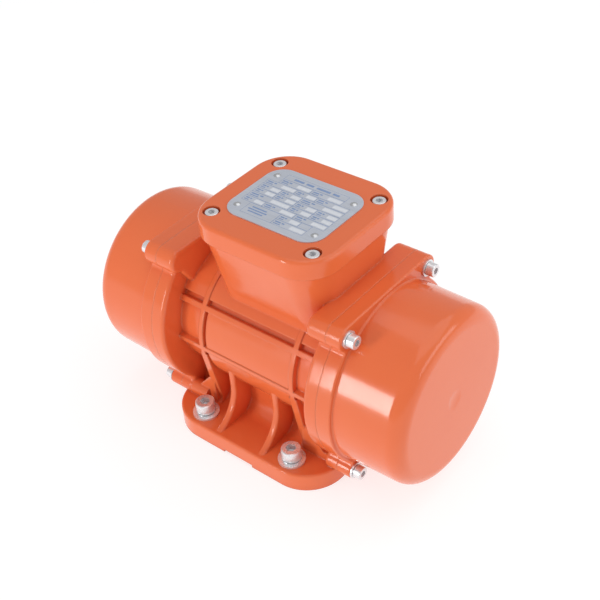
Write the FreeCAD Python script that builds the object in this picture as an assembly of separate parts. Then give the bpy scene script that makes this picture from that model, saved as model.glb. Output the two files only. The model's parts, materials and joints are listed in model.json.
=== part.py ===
import FreeCAD, Part
import math
import os

# External vibration motor with foot, terminal box and an eccentric weight set at each end.
# Millimetres. X runs along the shaft and Z is up. Every piece is modelled about the shaft axis,
# and save() lifts it by AXIS_HEIGHT, so that the foot stands on z = 0.

V = FreeCAD.Vector
X_AXIS = V(1, 0, 0)
Y_AXIS = V(0, 1, 0)
Z_AXIS = V(0, 0, 1)
SIDES = {"left": -1, "right": 1}

# Clearances
FIT = 0.02                      # a seated piece in its seat
RUN = 0.05                      # a running bore on its shaft
BALL_RUN = 0.08                 # a ball in its race or pocket
GAP = 0.3                       # faces that pass each other
SCREW_PLAY = 0.25               # a screw in its clearance hole

# Overall stand
FLOOR_CLEAR = 8.5               # from the flanges' rim to the floor
FOOT_SHORT = 2.0                # the foot ends this much short of the covers' joints
FOOT_THICKNESS = 13.0
FOOT_CORNER = 28.0
FOOT_EDGE = 1.5                 # rounding of the foot's top edge
BOLT_EDGE_X = 28.0              # from the foot's end to its bolts
BOLT_EDGE_Y = 12.0              # from the foot's side to its bolts
BOLT_STAND = 8.5                # from the cells' floor to the bolts, seen along the shaft
BOLT_HOLE = 9.0
RELIEF_WIDTH = 24.0
RELIEF_DEPTH = 2.0

# Barrel
BARREL_RADIUS = 44.5            # floor of the cells between the ribs
RIB_HEIGHT = 3.5
PANEL_HEIGHT = 2.8
BARREL_HALF = 57.0              # to the inboard face of the flanges
BARREL_WALL = 4.5
RING_RIB_X = 37.0
RIB_WIDTH = 3.6
RIB_DRAFT = 0.5
UPPER_RIB_ANGLE = 31.6          # above the horizontal
LOWER_RIB_ANGLE = -4.7
GROOVE_WIDTH_ANGLE = 5.0        # recess over the upper rib
PANEL_GAP = 2.2                 # groove between the left ring rib and the fields

# Flanges and their ears
FLANGE_STEP = 2.5               # how far the flanges stand out from the covers
FLANGE_THICKNESS = 10.0
FLANGE_EDGE = 2.5
FLANGE_WALL = 4.0               # left between the barrel and the shield's bore
SPIGOT_WALL = 6.0               # from the barrel's bore to the shield's
EAR_STAND = 5.2                 # from the flange's rim to the ears' screws
EAR_ANGLE = 53.47               # above the horizontal
EAR_RADIUS = 8.0
LOWER_EAR_RADIUS = 5.8
EAR_NECK = 3.0
CROWN_REACH = 4.5               # how far the upper ears and the crown run on past the flange
CROWN_SKIRT = 4.0               # hollow rounding from the crown to the terminal box
SKIRT_STEPS = 4
LOWER_EAR_REACH = 13.5          # how far the lower ears run on past the left flange
WEB_RISE = 26.0                 # height of the web from the outer gusset to the lower ear
WEB_END = 3.0                   # from the web's end to the flange

# Pedestal and gussets
PEDESTAL_HALF = 30.0
PEDESTAL_FILLET = 11.0
PEDESTAL_HEIGHT = 30.0          # into the barrel
INNER_GUSSET_X = 18.0
GUSSET_THICKNESS = 5.0
GUSSET_SET = 0.5                # from the barrel's side in to the inner gussets' face
GUSSET_EDGE = 2.5               # from the gussets' toes to the foot's side
GUSSET_ROUND = 1.5
GUSSET_DROP = 26.0              # height of the hollowed part
OUTER_GUSSET_SET = 6.3          # from the barrel's side in to the outer gussets' heel
OUTER_GUSSET_THICKNESS = 5.6
OUTER_GUSSET_TOE = 5.0          # hollow rounding from the outer gusset to the foot
WEB_THICKNESS = 4.0

# Terminal box
BOX_X = 10.75
BOX_FLOOR_WALL = 4.5            # from the cells' floor to the box's
BOX_DEPTH = 34.5
BOX_SHORT = 10.0                # the box's half length is shorter than the barrel's
BOX_HALF_Y = 43.7
BOX_CORNER = 21.5
BOX_DRAFT_X = 4.0               # narrower each side at the root
BOX_DRAFT_Y = 12.8
BOX_CORNER_DRAFT = 4.5
BOX_ROOT = 30.0
BOX_WALL = 4.5
LID_OVERHANG = 2.5
LID_THICKNESS = 12.5
LID_EDGE = 2.5
LID_WALL = 5.0
GASKET = 1.0
LID_SCREW_IN_X = 9.1            # from the box's end to its lid screws
LID_SCREW_IN_Y = 12.0           # from the box's side to its lid screws
LID_BOSS_RADIUS = 6.2
LID_BOSS_DEPTH = 26.0
LID_SCREW_SUNK = 0.7
LID_COUNTERBORE = 10.8
WIRE_HOLE = 12.0
WIRE_HOLE_X = 48.0

# Nameplate
PLATE_LENGTH = 70.6
PLATE_WIDTH = 56.0
PLATE_CORNER = 12.0
PLATE_THICKNESS = 0.6
RIVET_X = 58.2
RIVET_Y = 37.2
RIVET_HEAD = 4.6
RIVET_RISE = 0.9
RIVET_SHANK = 2.4
RIVET_DEPTH = 3.0

# End covers
COVER_FLANGE = 10.0
COVER_CLEAR = 3.4               # from the shaft's end to the cover's
COVER_TAPER = 1.1
COVER_WALL = 3.6
COVER_END_ROUND = 10.0
COVER_BLEND = 1.2               # flange face to cup
COVER_EDGE = 1.0
COVER_RIM = 4.0                 # the cover's wall at its mouth
COVER_DIMPLE = 7.0              # radius of the spot in the middle of the end
COVER_DIMPLE_DEPTH = 0.4
SEAL_LAND = 2.4                 # from the cover's bore to the seal
SEAL_SECTION = 1.9
SEAL_PLAY = 0.05

# Bearings
BEARING_BORE = 20.0
BEARING_OUTER = 52.0
BEARING_WIDTH = 15.0
BEARING_SET = 7.0               # from the flange's inboard face to the bearing's middle
BALL = 9.5
BALLS = 8
SHOULDER_STAND = 3.2            # from the balls' circle to the rings' shoulders
CAGE_THICKNESS = 1.6
CAGE_SIDE = 1.2

# Bearing shields
SHIELD_LAND = 8.7               # from the spigot's bore to the shield's rim
SHIELD_PLATE = 5.0
SHIELD_WEB = 6.0
HUB_WALL = 5.0
HUB_LIP = 3.5
HUB_LIP_DEPTH = 4.0             # from the bearing's outside to the lip's bore
HUB_REACH = 3.5
RETAINER_THICKNESS = 1.5
RETAINER_DEPTH = 1.2
RETAINER_STAND = 2.6            # from the bearing's outside to the retainer's inside
RETAINER_MOUTH = 40.0           # degrees
SHIELD_SCREW_EDGE = 4.2         # from the shield's rim to its screws
SHIELD_SCREW_ANGLE = 15.0

# Electrical parts
STATOR_SHORT = 27.0             # the stack's half length is shorter than the barrel's
STATOR_INSIDE = 25.0
SLOTS = 18
SLOT_WIDTH = 4.4
SLOT_OPENING = 1.8
SLOT_NECK = 2.0                 # from the stator's inside to the slots
STATOR_YOKE = 5.0
SLOT_LINER = 0.2
WINDING_REACH = 13.0
WINDING_STAND = 2.5             # from the stator's inside to the end windings
WINDING_SPREAD = 2.0            # the end windings bulge past the slots
WINDING_ROUND = 3.0
AIR_GAP = 0.4
BARS = 16
BAR = 4.2
BAR_IN = 3.6                    # from the stator's inside to the bars' circle
END_RING = 6.0
END_RING_IN = 17.0

# Shaft and weights
SHAFT_BODY = 26.0
SHAFT_TIP = 1.7                 # past the circlip
SPACER_RADIUS = 13.4
HUB_TO_WEIGHT = 2.5
WEIGHT_THICKNESS = 16.0
WEIGHT_RADIUS = 48.0
WEIGHT_HALF_ANGLE = 76.0
WEIGHT_HUB = 19.0
LUG_HALF = 13.0
LUG_TOP = 29.0
LUG_SLOT = 2.0
CLAMP_BOLT_Z = 20.5
SCALE_THICKNESS = 1.5
SCALE_RADIUS = 34.0
KEY_WIDTH = 6.0
KEY_HEIGHT = 6.0
KEY_INSET = 1.0
SHAFT_WASHER = 1.5
SHAFT_WASHER_RADIUS = 15.0
CIRCLIP_THICKNESS = 1.2
CIRCLIP_DEPTH = 0.9
CIRCLIP_RIM = 2.4

# Terminal block
BLOCK_LENGTH = 56.0
BLOCK_WIDTH = 24.0
BLOCK_HEIGHT = 10.0
BLOCK_Y = -8.0
BARRIER = 3.0
STUD_SPACING_X = 18.0
STUD_SPACING_Y = 11.0
STUD = 4.0
STUD_RISE = 9.0
STUD_ROOT = 4.0
BLOCK_SCREW_X = 23.5
FLOOR_THREAD = 2.0              # depth of the threads in the box's floor
TERMINAL_NUT = 7.0
TERMINAL_NUT_THICKNESS = 3.2
EARTH_X = 35.0
EARTH_Y = 17.0

# Cable gland
GLAND_RISE = 15.0               # above the box's floor
GLAND_THREAD = 20.0
GLAND_HEX = 24.0
GLAND_SEAT_Y = 42.5
GLAND_SEAT_RADIUS = 13.9
GLAND_WALL = 5.0
GLAND_FLANGE = 5.0
GLAND_NECK = 7.5
GLAND_NECK_RADIUS = 9.4
GLAND_INSIDE = 7.5
GLAND_THREAD_REACH = 11.0
LOCKNUT = 4.0
DOME_HEX_LENGTH = 8.0
DOME_LENGTH = 5.0
DOME_MOUTH = 6.0
DOME_GAP = 1.5
CABLE = 10.0
CABLE_SEAL = 8.0

# Fasteners: thread, head across, head height, socket across flats
M4 = {"thread": 4.0, "head": 7.0, "height": 4.0, "socket": 3.0}
M5 = {"thread": 5.0, "head": 8.5, "height": 5.0, "socket": 4.0}
M8 = {"thread": 8.0, "head": 13.0, "height": 8.0, "socket": 6.0}
HEAD_ROUND = 0.12               # share of the head's height
SOCKET_DEPTH = 0.55             # share of the head's height
M5_WASHER = {"outer": 11.0, "bore": 5.3, "thickness": 1.0, "height": 1.3}
M8_WASHER = {"outer": 18.0, "bore": 8.4, "thickness": 1.6, "height": 2.2}
COVER_SCREW_REACH = 18.0
SHIELD_SCREW_REACH = 10.0
LID_SCREW_REACH = 19.0
THREAD_PLAY = 0.05              # a screw in its threaded hole

# Worked out
BOLT_SPACING_Y = 2 * (BARREL_RADIUS + BOLT_STAND)
FOOT_WIDTH = BOLT_SPACING_Y + 2 * BOLT_EDGE_Y
GUSSET_REACH_Y = FOOT_WIDTH / 2 - GUSSET_EDGE
GUSSET_FACE_Y = BARREL_RADIUS - GUSSET_SET
OUTER_GUSSET_REACH_Y = BARREL_RADIUS - OUTER_GUSSET_SET
STATOR_BORE = BARREL_RADIUS - BARREL_WALL
SHIELD_BORE = STATOR_BORE + SPIGOT_WALL
SHIELD_RADIUS = SHIELD_BORE + SHIELD_LAND
COVER_BORE = SHIELD_RADIUS + GAP
SEAL_RADIUS = COVER_BORE + SEAL_LAND
COVER_RADIUS = COVER_BORE + COVER_RIM
FLANGE_RADIUS = COVER_RADIUS + FLANGE_STEP
AXIS_HEIGHT = FLANGE_RADIUS + FLOOR_CLEAR
SHIELD_SCREW_RADIUS = SHIELD_RADIUS - SHIELD_SCREW_EDGE
EAR_Y = (FLANGE_RADIUS + EAR_STAND) * math.cos(math.radians(EAR_ANGLE))
EAR_Z = (FLANGE_RADIUS + EAR_STAND) * math.sin(math.radians(EAR_ANGLE))
BOX_HALF_X = BARREL_HALF - BOX_SHORT
BOX_FLOOR = BARREL_RADIUS + BOX_FLOOR_WALL
BOX_TOP = BOX_FLOOR + BOX_DEPTH
GLAND_Z = BOX_FLOOR + GLAND_RISE
LID_SCREW_X = 2 * (BOX_HALF_X - LID_SCREW_IN_X)
LID_SCREW_Y = 2 * (BOX_HALF_Y - LID_SCREW_IN_Y)
BEARING_MIDDLE = BARREL_HALF + BEARING_SET
STATOR_HALF = BARREL_HALF - STATOR_SHORT
SLOT_OUT = STATOR_BORE - STATOR_YOKE
WINDING_OUT = SLOT_OUT + WINDING_SPREAD
SLOT_IN = STATOR_INSIDE + SLOT_NECK
WINDING_IN = STATOR_INSIDE + WINDING_STAND
BAR_CIRCLE = STATOR_INSIDE - BAR_IN
RIB_RADIUS = BARREL_RADIUS + RIB_HEIGHT
PANEL_RADIUS = BARREL_RADIUS + PANEL_HEIGHT
JOINT_X = BARREL_HALF + FLANGE_THICKNESS
FOOT_LENGTH = 2 * (JOINT_X - FOOT_SHORT)
BOLT_SPACING_X = FOOT_LENGTH - 2 * BOLT_EDGE_X
SHIELD_SEAT_X = BARREL_HALF + FLANGE_WALL
COVER_SEAT_X = JOINT_X + COVER_FLANGE
FLOOR_Z = -AXIS_HEIGHT
FOOT_TOP = FLOOR_Z + FOOT_THICKNESS
LID_BOTTOM = BOX_TOP + GASKET
LID_TOP = LID_BOTTOM + LID_THICKNESS
LID_SCREW_SEAT = LID_TOP - LID_SCREW_SUNK - M5["height"]
BEARING_IN_X = BEARING_MIDDLE - BEARING_WIDTH / 2
BEARING_OUT_X = BEARING_MIDDLE + BEARING_WIDTH / 2
PITCH = (BEARING_BORE + BEARING_OUTER) / 4
INNER_SHOULDER = PITCH - SHOULDER_STAND
OUTER_SHOULDER = PITCH + SHOULDER_STAND
HUB_RADIUS = BEARING_OUTER / 2 + HUB_WALL
HUB_LIP_BORE = BEARING_OUTER / 2 - HUB_LIP_DEPTH
RETAINER_INSIDE = BEARING_OUTER / 2 - RETAINER_STAND
SHAFT_RADIUS = BEARING_BORE / 2
WEIGHT_START = BEARING_OUT_X + HUB_REACH + HUB_TO_WEIGHT
SCALE_X = WEIGHT_START + WEIGHT_THICKNESS
ADJUSTABLE_X = SCALE_X + SCALE_THICKNESS + GAP
SHAFT_WASHER_X = ADJUSTABLE_X + WEIGHT_THICKNESS + GAP
CIRCLIP_X = SHAFT_WASHER_X + SHAFT_WASHER
SHAFT_HALF = CIRCLIP_X + CIRCLIP_THICKNESS + SHAFT_TIP
COVER_END_X = SHAFT_HALF + COVER_CLEAR + COVER_WALL
EARS = [(y, z) for z in (EAR_Z, -EAR_Z) for y in (-EAR_Y, EAR_Y)]
FOOT_HOLES = [(x * BOLT_SPACING_X / 2, y * BOLT_SPACING_Y / 2) for x in (-1, 1) for y in (-1, 1)]
LID_SCREWS = [
    (BOX_X + x * LID_SCREW_X / 2, y * LID_SCREW_Y / 2) for x in (-1, 1) for y in (-1, 1)
]


# General shapes

def save(name, shape):
    """Stands one sub-part on the foot's plane and writes it as STEP."""
    shape = shape.copy()
    shape.translate(V(0, 0, AXIS_HEIGHT))
    shape.exportStep("parts/" + name + ".step")


def joined(shapes):
    """One solid from several that meet."""
    return shapes[0].multiFuse(shapes[1:]).removeSplitter()


def disc(radius, x0, x1, y=0.0, z=0.0):
    """A cylinder along X."""
    return Part.makeCylinder(radius, x1 - x0, V(x0, y, z), X_AXIS)


def tube(outer, inner, x0, x1):
    """A ring about the shaft."""
    return disc(outer, x0, x1).cut(disc(inner, x0 - 1, x1 + 1))


def post(radius, x, y, z0, z1):
    """An upright cylinder."""
    return Part.makeCylinder(radius, z1 - z0, V(x, y, z0), Z_AXIS)


def block(x0, x1, y0, y1, z0, z1):
    """A box between two corners."""
    return Part.makeBox(x1 - x0, y1 - y0, z1 - z0, V(x0, y0, z0))


def turned(profile, angle=360.0):
    """Revolves (x, radius) corners about the shaft, from the upright."""
    corners = [V(x, 0, radius) for x, radius in profile]
    face = Part.Face(Part.makePolygon(corners + corners[:1]))
    return face.revolve(V(0, 0, 0), X_AXIS, angle)


def across(profile, x0, x1):
    """Extrudes a wire's edges in the YZ plane from x0 to x1."""
    face = Part.Face(Part.Wire(profile))
    face.translate(V(x0, 0, 0))
    return face.extrude(V(x1 - x0, 0, 0))


def polygon_yz(corners):
    """Straight edges through (y, z) corners at x = 0."""
    points = [V(0, y, z) for y, z in corners]
    return Part.makePolygon(points + points[:1]).Edges


def rounded_rectangle(cx, half_x, half_y, corner, z):
    """A wire about (cx, 0) with four equal corners."""
    edges = []
    for k in range(4):
        sx = (1, -1, -1, 1)[k]
        sy = (1, 1, -1, -1)[k]
        middle = V(cx + sx * (half_x - corner), sy * (half_y - corner), z)
        edges.append(Part.makeCircle(corner, middle, Z_AXIS, 90 * k, 90 * k + 90))
    wire = []
    for k in range(4):
        start = edges[k]
        end = edges[(k + 1) % 4]
        wire.append(start)
        wire.append(Part.makeLine(start.Vertexes[-1].Point, end.Vertexes[0].Point))
    return Part.Wire(wire)


def slab(cx, half_x, half_y, corner, z0, z1):
    """A plate with rounded corners."""
    return Part.Face(rounded_rectangle(cx, half_x, half_y, corner, z0)).extrude(V(0, 0, z1 - z0))


def hexagon(across_flats, base, direction, length):
    """A hexagonal bar from base along direction."""
    radius = across_flats / math.sqrt(3)
    points = [
        V(radius * math.cos(math.radians(60 * k)), radius * math.sin(math.radians(60 * k)), 0)
        for k in range(7)
    ]
    bar = Part.Face(Part.makePolygon(points)).extrude(V(0, 0, length))
    bar.Placement = FreeCAD.Placement(base, FreeCAD.Rotation(Z_AXIS, direction))
    return bar


def placed(shape, base, direction):
    """Moves a shape built up from the origin along Z so that it starts at base."""
    shape = shape.copy()
    shape.Placement = FreeCAD.Placement(base, FreeCAD.Rotation(Z_AXIS, direction))
    return shape


def on_side(shape, side):
    """The right-hand shape itself, or its mirror image for the left."""
    return shape if side > 0 else shape.mirror(V(0, 0, 0), X_AXIS)


def both_sides(shape):
    """The shape and its mirror image as two solids."""
    return Part.makeCompound([on_side(shape, side) for side in SIDES.values()])


def rounded(shape, radius, chosen):
    """Fillets the edges for which chosen(edge) is true."""
    return shape.makeFillet(radius, [e for e in shape.Edges if chosen(e)])


def flat_at_x(edge, x):
    """True for an edge that lies in the plane at x."""
    return abs(edge.BoundBox.XMin - x) < 1e-4 and abs(edge.BoundBox.XMax - x) < 1e-4


def flat_at_z(edge, z):
    """True for an edge that lies in the plane at z."""
    return abs(edge.BoundBox.ZMin - z) < 1e-4 and abs(edge.BoundBox.ZMax - z) < 1e-4


# Fasteners, built head down on the seat at the origin, with the shank along -Z

def socket_screw(size, reach):
    """A socket-head cap screw: head above its seat, hexagon socket, shank below."""
    head = Part.makeCylinder(size["head"] / 2, size["height"])
    head = rounded(head, size["height"] * HEAD_ROUND, lambda e: flat_at_z(e, size["height"]))
    depth = size["height"] * SOCKET_DEPTH
    recess = hexagon(size["socket"], V(0, 0, size["height"] - depth), Z_AXIS, depth + 1)
    shank = Part.makeCylinder(size["thread"] / 2, reach, V(0, 0, -reach))
    return head.cut(recess).fuse(shank).removeSplitter()


def washer(outer, bore, thickness):
    """A plain ring lying on the origin's plane."""
    return Part.makeCylinder(outer / 2, thickness).cut(
        Part.makeCylinder(bore / 2, thickness * 3, V(0, 0, -thickness))
    )


def spring_washer(size):
    """A conical spring washer standing on its rim on the origin's plane."""
    rise = size["height"] - size["thickness"]
    bore = size["bore"] / 2
    rim = size["outer"] / 2
    corners = [V(bore, 0, rise), V(rim, 0, 0), V(rim, 0, size["thickness"]), V(bore, 0, size["height"])]
    return Part.Face(Part.makePolygon(corners + corners[:1])).revolve(V(0, 0, 0), Z_AXIS, 360)


def nut(across_flats, bore, thickness):
    """A hexagon nut standing on the origin's plane."""
    return hexagon(across_flats, V(0, 0, 0), Z_AXIS, thickness).cut(
        Part.makeCylinder(bore / 2, thickness * 3, V(0, 0, -thickness))
    )


# Housing casting

def flange(x0, x1):
    """The flange outline that housing and cover share: a disc, a flat crown and four ears."""
    crown = block(x0, x1, -EAR_Y, EAR_Y, EAR_Z / 2, EAR_Z + EAR_RADIUS)
    ears = [disc(EAR_RADIUS if z > 0 else LOWER_EAR_RADIUS, x0, x1, y, z) for y, z in EARS]
    body = joined([disc(FLANGE_RADIUS, x0, x1), crown] + ears)
    return rounded(body, EAR_NECK, lambda e: is_neck(e, x0, x1))


def is_neck(edge, x0, x1):
    """True for the line along X in which an ear leaves the flange's disc."""
    box = edge.BoundBox
    middle = edge.CenterOfMass
    along = abs(box.XMin - x0) < 1e-4 and abs(box.XMax - x1) < 1e-4
    return along and abs(math.hypot(middle.y, middle.z) - FLANGE_RADIUS) < 0.01


def sector(inner, outer, x0, x1, start, end):
    """Part of a ring about the shaft between two angles above the -Y horizontal."""
    piece = turned([(x0, inner), (x1, inner), (x1, outer), (x0, outer)], end - start)
    piece.rotate(V(0, 0, 0), X_AXIS, 90 - end)
    return piece


def ring_rib(x):
    """A rib round the barrel, with draft."""
    half = RIB_WIDTH / 2
    root = BARREL_RADIUS - 1
    rib = turned([(x - half - RIB_DRAFT, root), (x + half + RIB_DRAFT, root),
                  (x + half, RIB_RADIUS), (x - half, RIB_RADIUS)])
    return rib.cut(disc(STATOR_BORE, x - RIB_WIDTH, x + RIB_WIDTH))


def long_rib(angle):
    """A rib along the barrel at one angle above the -Y horizontal."""
    half = RIB_WIDTH / 2
    corners = [(-half - RIB_DRAFT, BARREL_RADIUS - 1), (half + RIB_DRAFT, BARREL_RADIUS - 1),
               (half, RIB_RADIUS), (-half, RIB_RADIUS)]
    rib = across(polygon_yz(corners), -BARREL_HALF, BARREL_HALF)
    rib.rotate(V(0, 0, 0), X_AXIS, 90 - angle)
    return rib


def panels():
    """The raised fields between the ribs on the -Y side."""
    rib_half_angle = math.degrees(RIB_WIDTH / 2 / RIB_RADIUS)
    groove_top = UPPER_RIB_ANGLE + rib_half_angle + GROOVE_WIDTH_ANGLE
    root = BARREL_RADIUS - 1
    left = -RING_RIB_X + RIB_WIDTH / 2 + PANEL_GAP
    return [
        sector(root, PANEL_RADIUS, left, RING_RIB_X, LOWER_RIB_ANGLE, UPPER_RIB_ANGLE),
        sector(root, PANEL_RADIUS, -BARREL_HALF, BARREL_HALF, groove_top, 90.0),
        sector(root, PANEL_RADIUS, left, RING_RIB_X, -90.0, LOWER_RIB_ANGLE),
    ]


def pedestal_half():
    """The wall under the barrel on the -Y side, swept out to the foot by a wide fillet."""
    top = FOOT_TOP + PEDESTAL_HEIGHT
    fillet_top = FOOT_TOP + PEDESTAL_FILLET
    reach = PEDESTAL_HALF + PEDESTAL_FILLET
    bend = PEDESTAL_FILLET * math.sqrt(0.5)
    start = V(0, -PEDESTAL_HALF, fillet_top)
    middle = V(0, -reach + bend, fillet_top - bend)
    end = V(0, -reach, FOOT_TOP)
    corners = [end, V(0, -reach, FOOT_TOP - 1), V(0, 1, FOOT_TOP - 1), V(0, 1, top),
               V(0, -PEDESTAL_HALF, top), start]
    edges = Part.makePolygon(corners).Edges + [Part.Arc(start, middle, end).toShape()]
    return across(edges, -BARREL_HALF, BARREL_HALF)


def inner_gusset(x):
    """A bracket on the -Y side: plumb from the barrel, then hollowed out to the foot's edge."""
    depth = GUSSET_REACH_Y - GUSSET_FACE_Y
    drop = GUSSET_DROP
    radius = (depth ** 2 + drop ** 2) / (2 * depth)
    arc_top = FOOT_TOP + drop
    half_angle = math.asin(drop / radius) / 2
    start = V(0, -GUSSET_FACE_Y, arc_top)
    middle = V(0, -GUSSET_FACE_Y - radius * (1 - math.cos(half_angle)),
               arc_top - radius * math.sin(half_angle))
    end = V(0, -GUSSET_REACH_Y, FOOT_TOP)
    corners = [end, V(0, -GUSSET_REACH_Y, FOOT_TOP - 1), V(0, 0, FOOT_TOP - 1), V(0, 0, 0),
               V(0, -GUSSET_FACE_Y, 0), start]
    edges = Part.makePolygon(corners).Edges + [Part.Arc(start, middle, end).toShape()]
    body = across(edges, x - GUSSET_THICKNESS / 2, x + GUSSET_THICKNESS / 2)
    return rounded(body, GUSSET_ROUND, is_gusset_front)


def is_gusset_front(edge):
    """True for an edge down the front of an inner gusset, above the foot."""
    box = edge.BoundBox
    front = box.YMax < 1e-4 - GUSSET_FACE_Y and box.ZMin > FOOT_TOP - 0.5
    return front and box.XLength < 1e-4 and box.ZLength > 1


def outer_gusset(x):
    """The ring rib runs on down to the foot along its tangent and toes out, on the -Y side."""
    foot = math.hypot(OUTER_GUSSET_REACH_Y, FOOT_TOP)
    angle = math.atan2(-FOOT_TOP, OUTER_GUSSET_REACH_Y) - math.acos(RIB_RADIUS / foot)
    touch = V(0, -RIB_RADIUS * math.cos(angle), -RIB_RADIUS * math.sin(angle))
    heel = V(0, -OUTER_GUSSET_REACH_Y, FOOT_TOP)
    start = heel + (touch - heel).normalize() * OUTER_GUSSET_TOE
    end = heel - Y_AXIS * OUTER_GUSSET_TOE
    bend = heel + ((start - heel) + (end - heel)) * (1 - math.sqrt(0.5))
    corners = [end, V(0, end.y, FOOT_TOP - 1), V(0, 0, FOOT_TOP - 1), V(0, 0, touch.z), touch, start]
    edges = Part.makePolygon(corners).Edges + [Part.Arc(start, bend, end).toShape()]
    half = OUTER_GUSSET_THICKNESS / 2
    return across(edges, x - half, x + half)


def crown_reach():
    """The upper ears and the crown between them, run on inboard of the right-hand flange."""
    x0 = BARREL_HALF - CROWN_REACH
    top = EAR_Z + EAR_RADIUS
    root = BARREL_RADIUS * math.sqrt(0.5)
    corners = [(-EAR_Y, top), (EAR_Y, top), (EAR_Y, EAR_Z - EAR_RADIUS), (root, root),
               (-root, root), (-EAR_Y, EAR_Z - EAR_RADIUS)]
    ears = [disc(EAR_RADIUS, x0, BARREL_HALF + FLANGE_EDGE, y, EAR_Z) for y in (-EAR_Y, EAR_Y)]
    crown = across(polygon_yz(corners), x0, BARREL_HALF + FLANGE_EDGE)
    return rounded(joined([crown] + ears), FLANGE_EDGE, lambda e: flat_at_x(e, x0) and is_crown_edge(e))


def is_crown_edge(edge):
    """True for an edge that stays clear of the barrel."""
    return math.hypot(edge.CenterOfMass.y, edge.CenterOfMass.z) > BARREL_RADIUS + FLANGE_EDGE


def box_skirt():
    """The hollow rounding between the right-hand crown and the terminal box's wall."""
    base = EAR_Z + EAR_RADIUS
    wires = []
    for step in range(SKIRT_STEPS + 1):
        angle = math.radians(90.0 * step / SKIRT_STEPS)
        z = base + CROWN_SKIRT * (1 - math.cos(angle))
        wires.append(box_outline(-CROWN_SKIRT * (1 - math.sin(angle)), z))
    ring = Part.makeLoft(wires, True, False)
    return ring.common(block(BARREL_HALF - CROWN_REACH + FLANGE_EDGE, JOINT_X, -BOX_HALF_Y, BOX_HALF_Y,
                             base - 1, base + CROWN_SKIRT + 1))


def lower_ear_web(y):
    """The web from the right-hand outer gusset down to the flange at a lower ear."""
    side = y - WEB_THICKNESS / 2
    high = FOOT_TOP + WEB_RISE
    low = -EAR_Z + LOWER_EAR_RADIUS / 2
    points = [V(RING_RIB_X, side, FOOT_TOP - 1), V(RING_RIB_X, side, high),
              V(BARREL_HALF - WEB_END, side, low), V(BARREL_HALF + 1, side, low),
              V(BARREL_HALF + 1, side, FOOT_TOP - 1)]
    return Part.Face(Part.makePolygon(points + points[:1])).extrude(V(0, WEB_THICKNESS, 0))


def lower_ear_reaches():
    """The left-hand lower ears run on inboard, for the longer thread there."""
    x1 = -BARREL_HALF + LOWER_EAR_REACH
    return [disc(LOWER_EAR_RADIUS, -BARREL_HALF - 1, x1, y, -EAR_Z) for y in (-EAR_Y, EAR_Y)]


def foot():
    """The foot plate with its rounded edge."""
    plate = slab(0, FOOT_LENGTH / 2, FOOT_WIDTH / 2, FOOT_CORNER, FLOOR_Z, FOOT_TOP)
    return rounded(plate, FOOT_EDGE, lambda e: flat_at_z(e, FOOT_TOP))


def box_outline(inset, z):
    """The terminal box's outline at one height, drawn in by inset."""
    share = (BOX_TOP - z) / (BOX_TOP - BOX_ROOT)
    half_x = BOX_HALF_X - inset - BOX_DRAFT_X * share
    half_y = BOX_HALF_Y - inset - BOX_DRAFT_Y * share
    corner = BOX_CORNER - inset - BOX_CORNER_DRAFT * share
    return rounded_rectangle(BOX_X, half_x, half_y, corner, z)


def box_wires(inset, root, top):
    """The terminal box's outline at two heights, narrower towards the root."""
    return [box_outline(inset, z) for z in (root, top)]


def box_cavity():
    """The hollow of the terminal box, round the four screw bosses."""
    hollow = Part.makeLoft(box_wires(BOX_WALL, BOX_FLOOR, BOX_TOP), True, True)
    bosses = [post(LID_BOSS_RADIUS, x, y, BOX_TOP - LID_BOSS_DEPTH, BOX_TOP) for x, y in LID_SCREWS]
    gland_face = Part.makeCylinder(
        GLAND_SEAT_RADIUS + GAP, GLAND_SEAT_Y - GLAND_WALL - BOX_HALF_Y / 2,
        gland_point(BOX_HALF_Y / 2), Y_AXIS)
    return hollow.cut(Part.makeCompound(bosses)).fuse(gland_face)


def housing():
    """The one-piece casting, bored, faced and drilled."""
    half = [long_rib(UPPER_RIB_ANGLE), long_rib(LOWER_RIB_ANGLE), pedestal_half()] + panels()
    half += [inner_gusset(side * INNER_GUSSET_X) for side in SIDES.values()]
    half += [outer_gusset(side * RING_RIB_X) for side in SIDES.values()]
    front = joined(half)
    back = front.mirror(V(0, 0, 0), Y_AXIS)
    ends = []
    for side in SIDES.values():
        end = rounded(flange(BARREL_HALF, JOINT_X), FLANGE_EDGE, lambda e: flat_at_x(e, BARREL_HALF))
        webs = [lower_ear_web(-EAR_Y), lower_ear_web(EAR_Y)]
        ends += [on_side(piece, side) for piece in [end, crown_reach(), ring_rib(RING_RIB_X)] + webs]
    box = Part.makeLoft(box_wires(0, BOX_ROOT, BOX_TOP), True, True)
    seat = Part.makeCylinder(GLAND_SEAT_RADIUS, GLAND_SEAT_Y - BOX_HALF_Y / 2,
                             gland_point(BOX_HALF_Y / 2), Y_AXIS)
    barrel = disc(BARREL_RADIUS, -BARREL_HALF - 1, BARREL_HALF + 1)
    casting = joined([barrel, front, back, foot(), box, seat, box_skirt()] + lower_ear_reaches() + ends)
    return casting.cut(Part.makeCompound(housing_cuts()))


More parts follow.
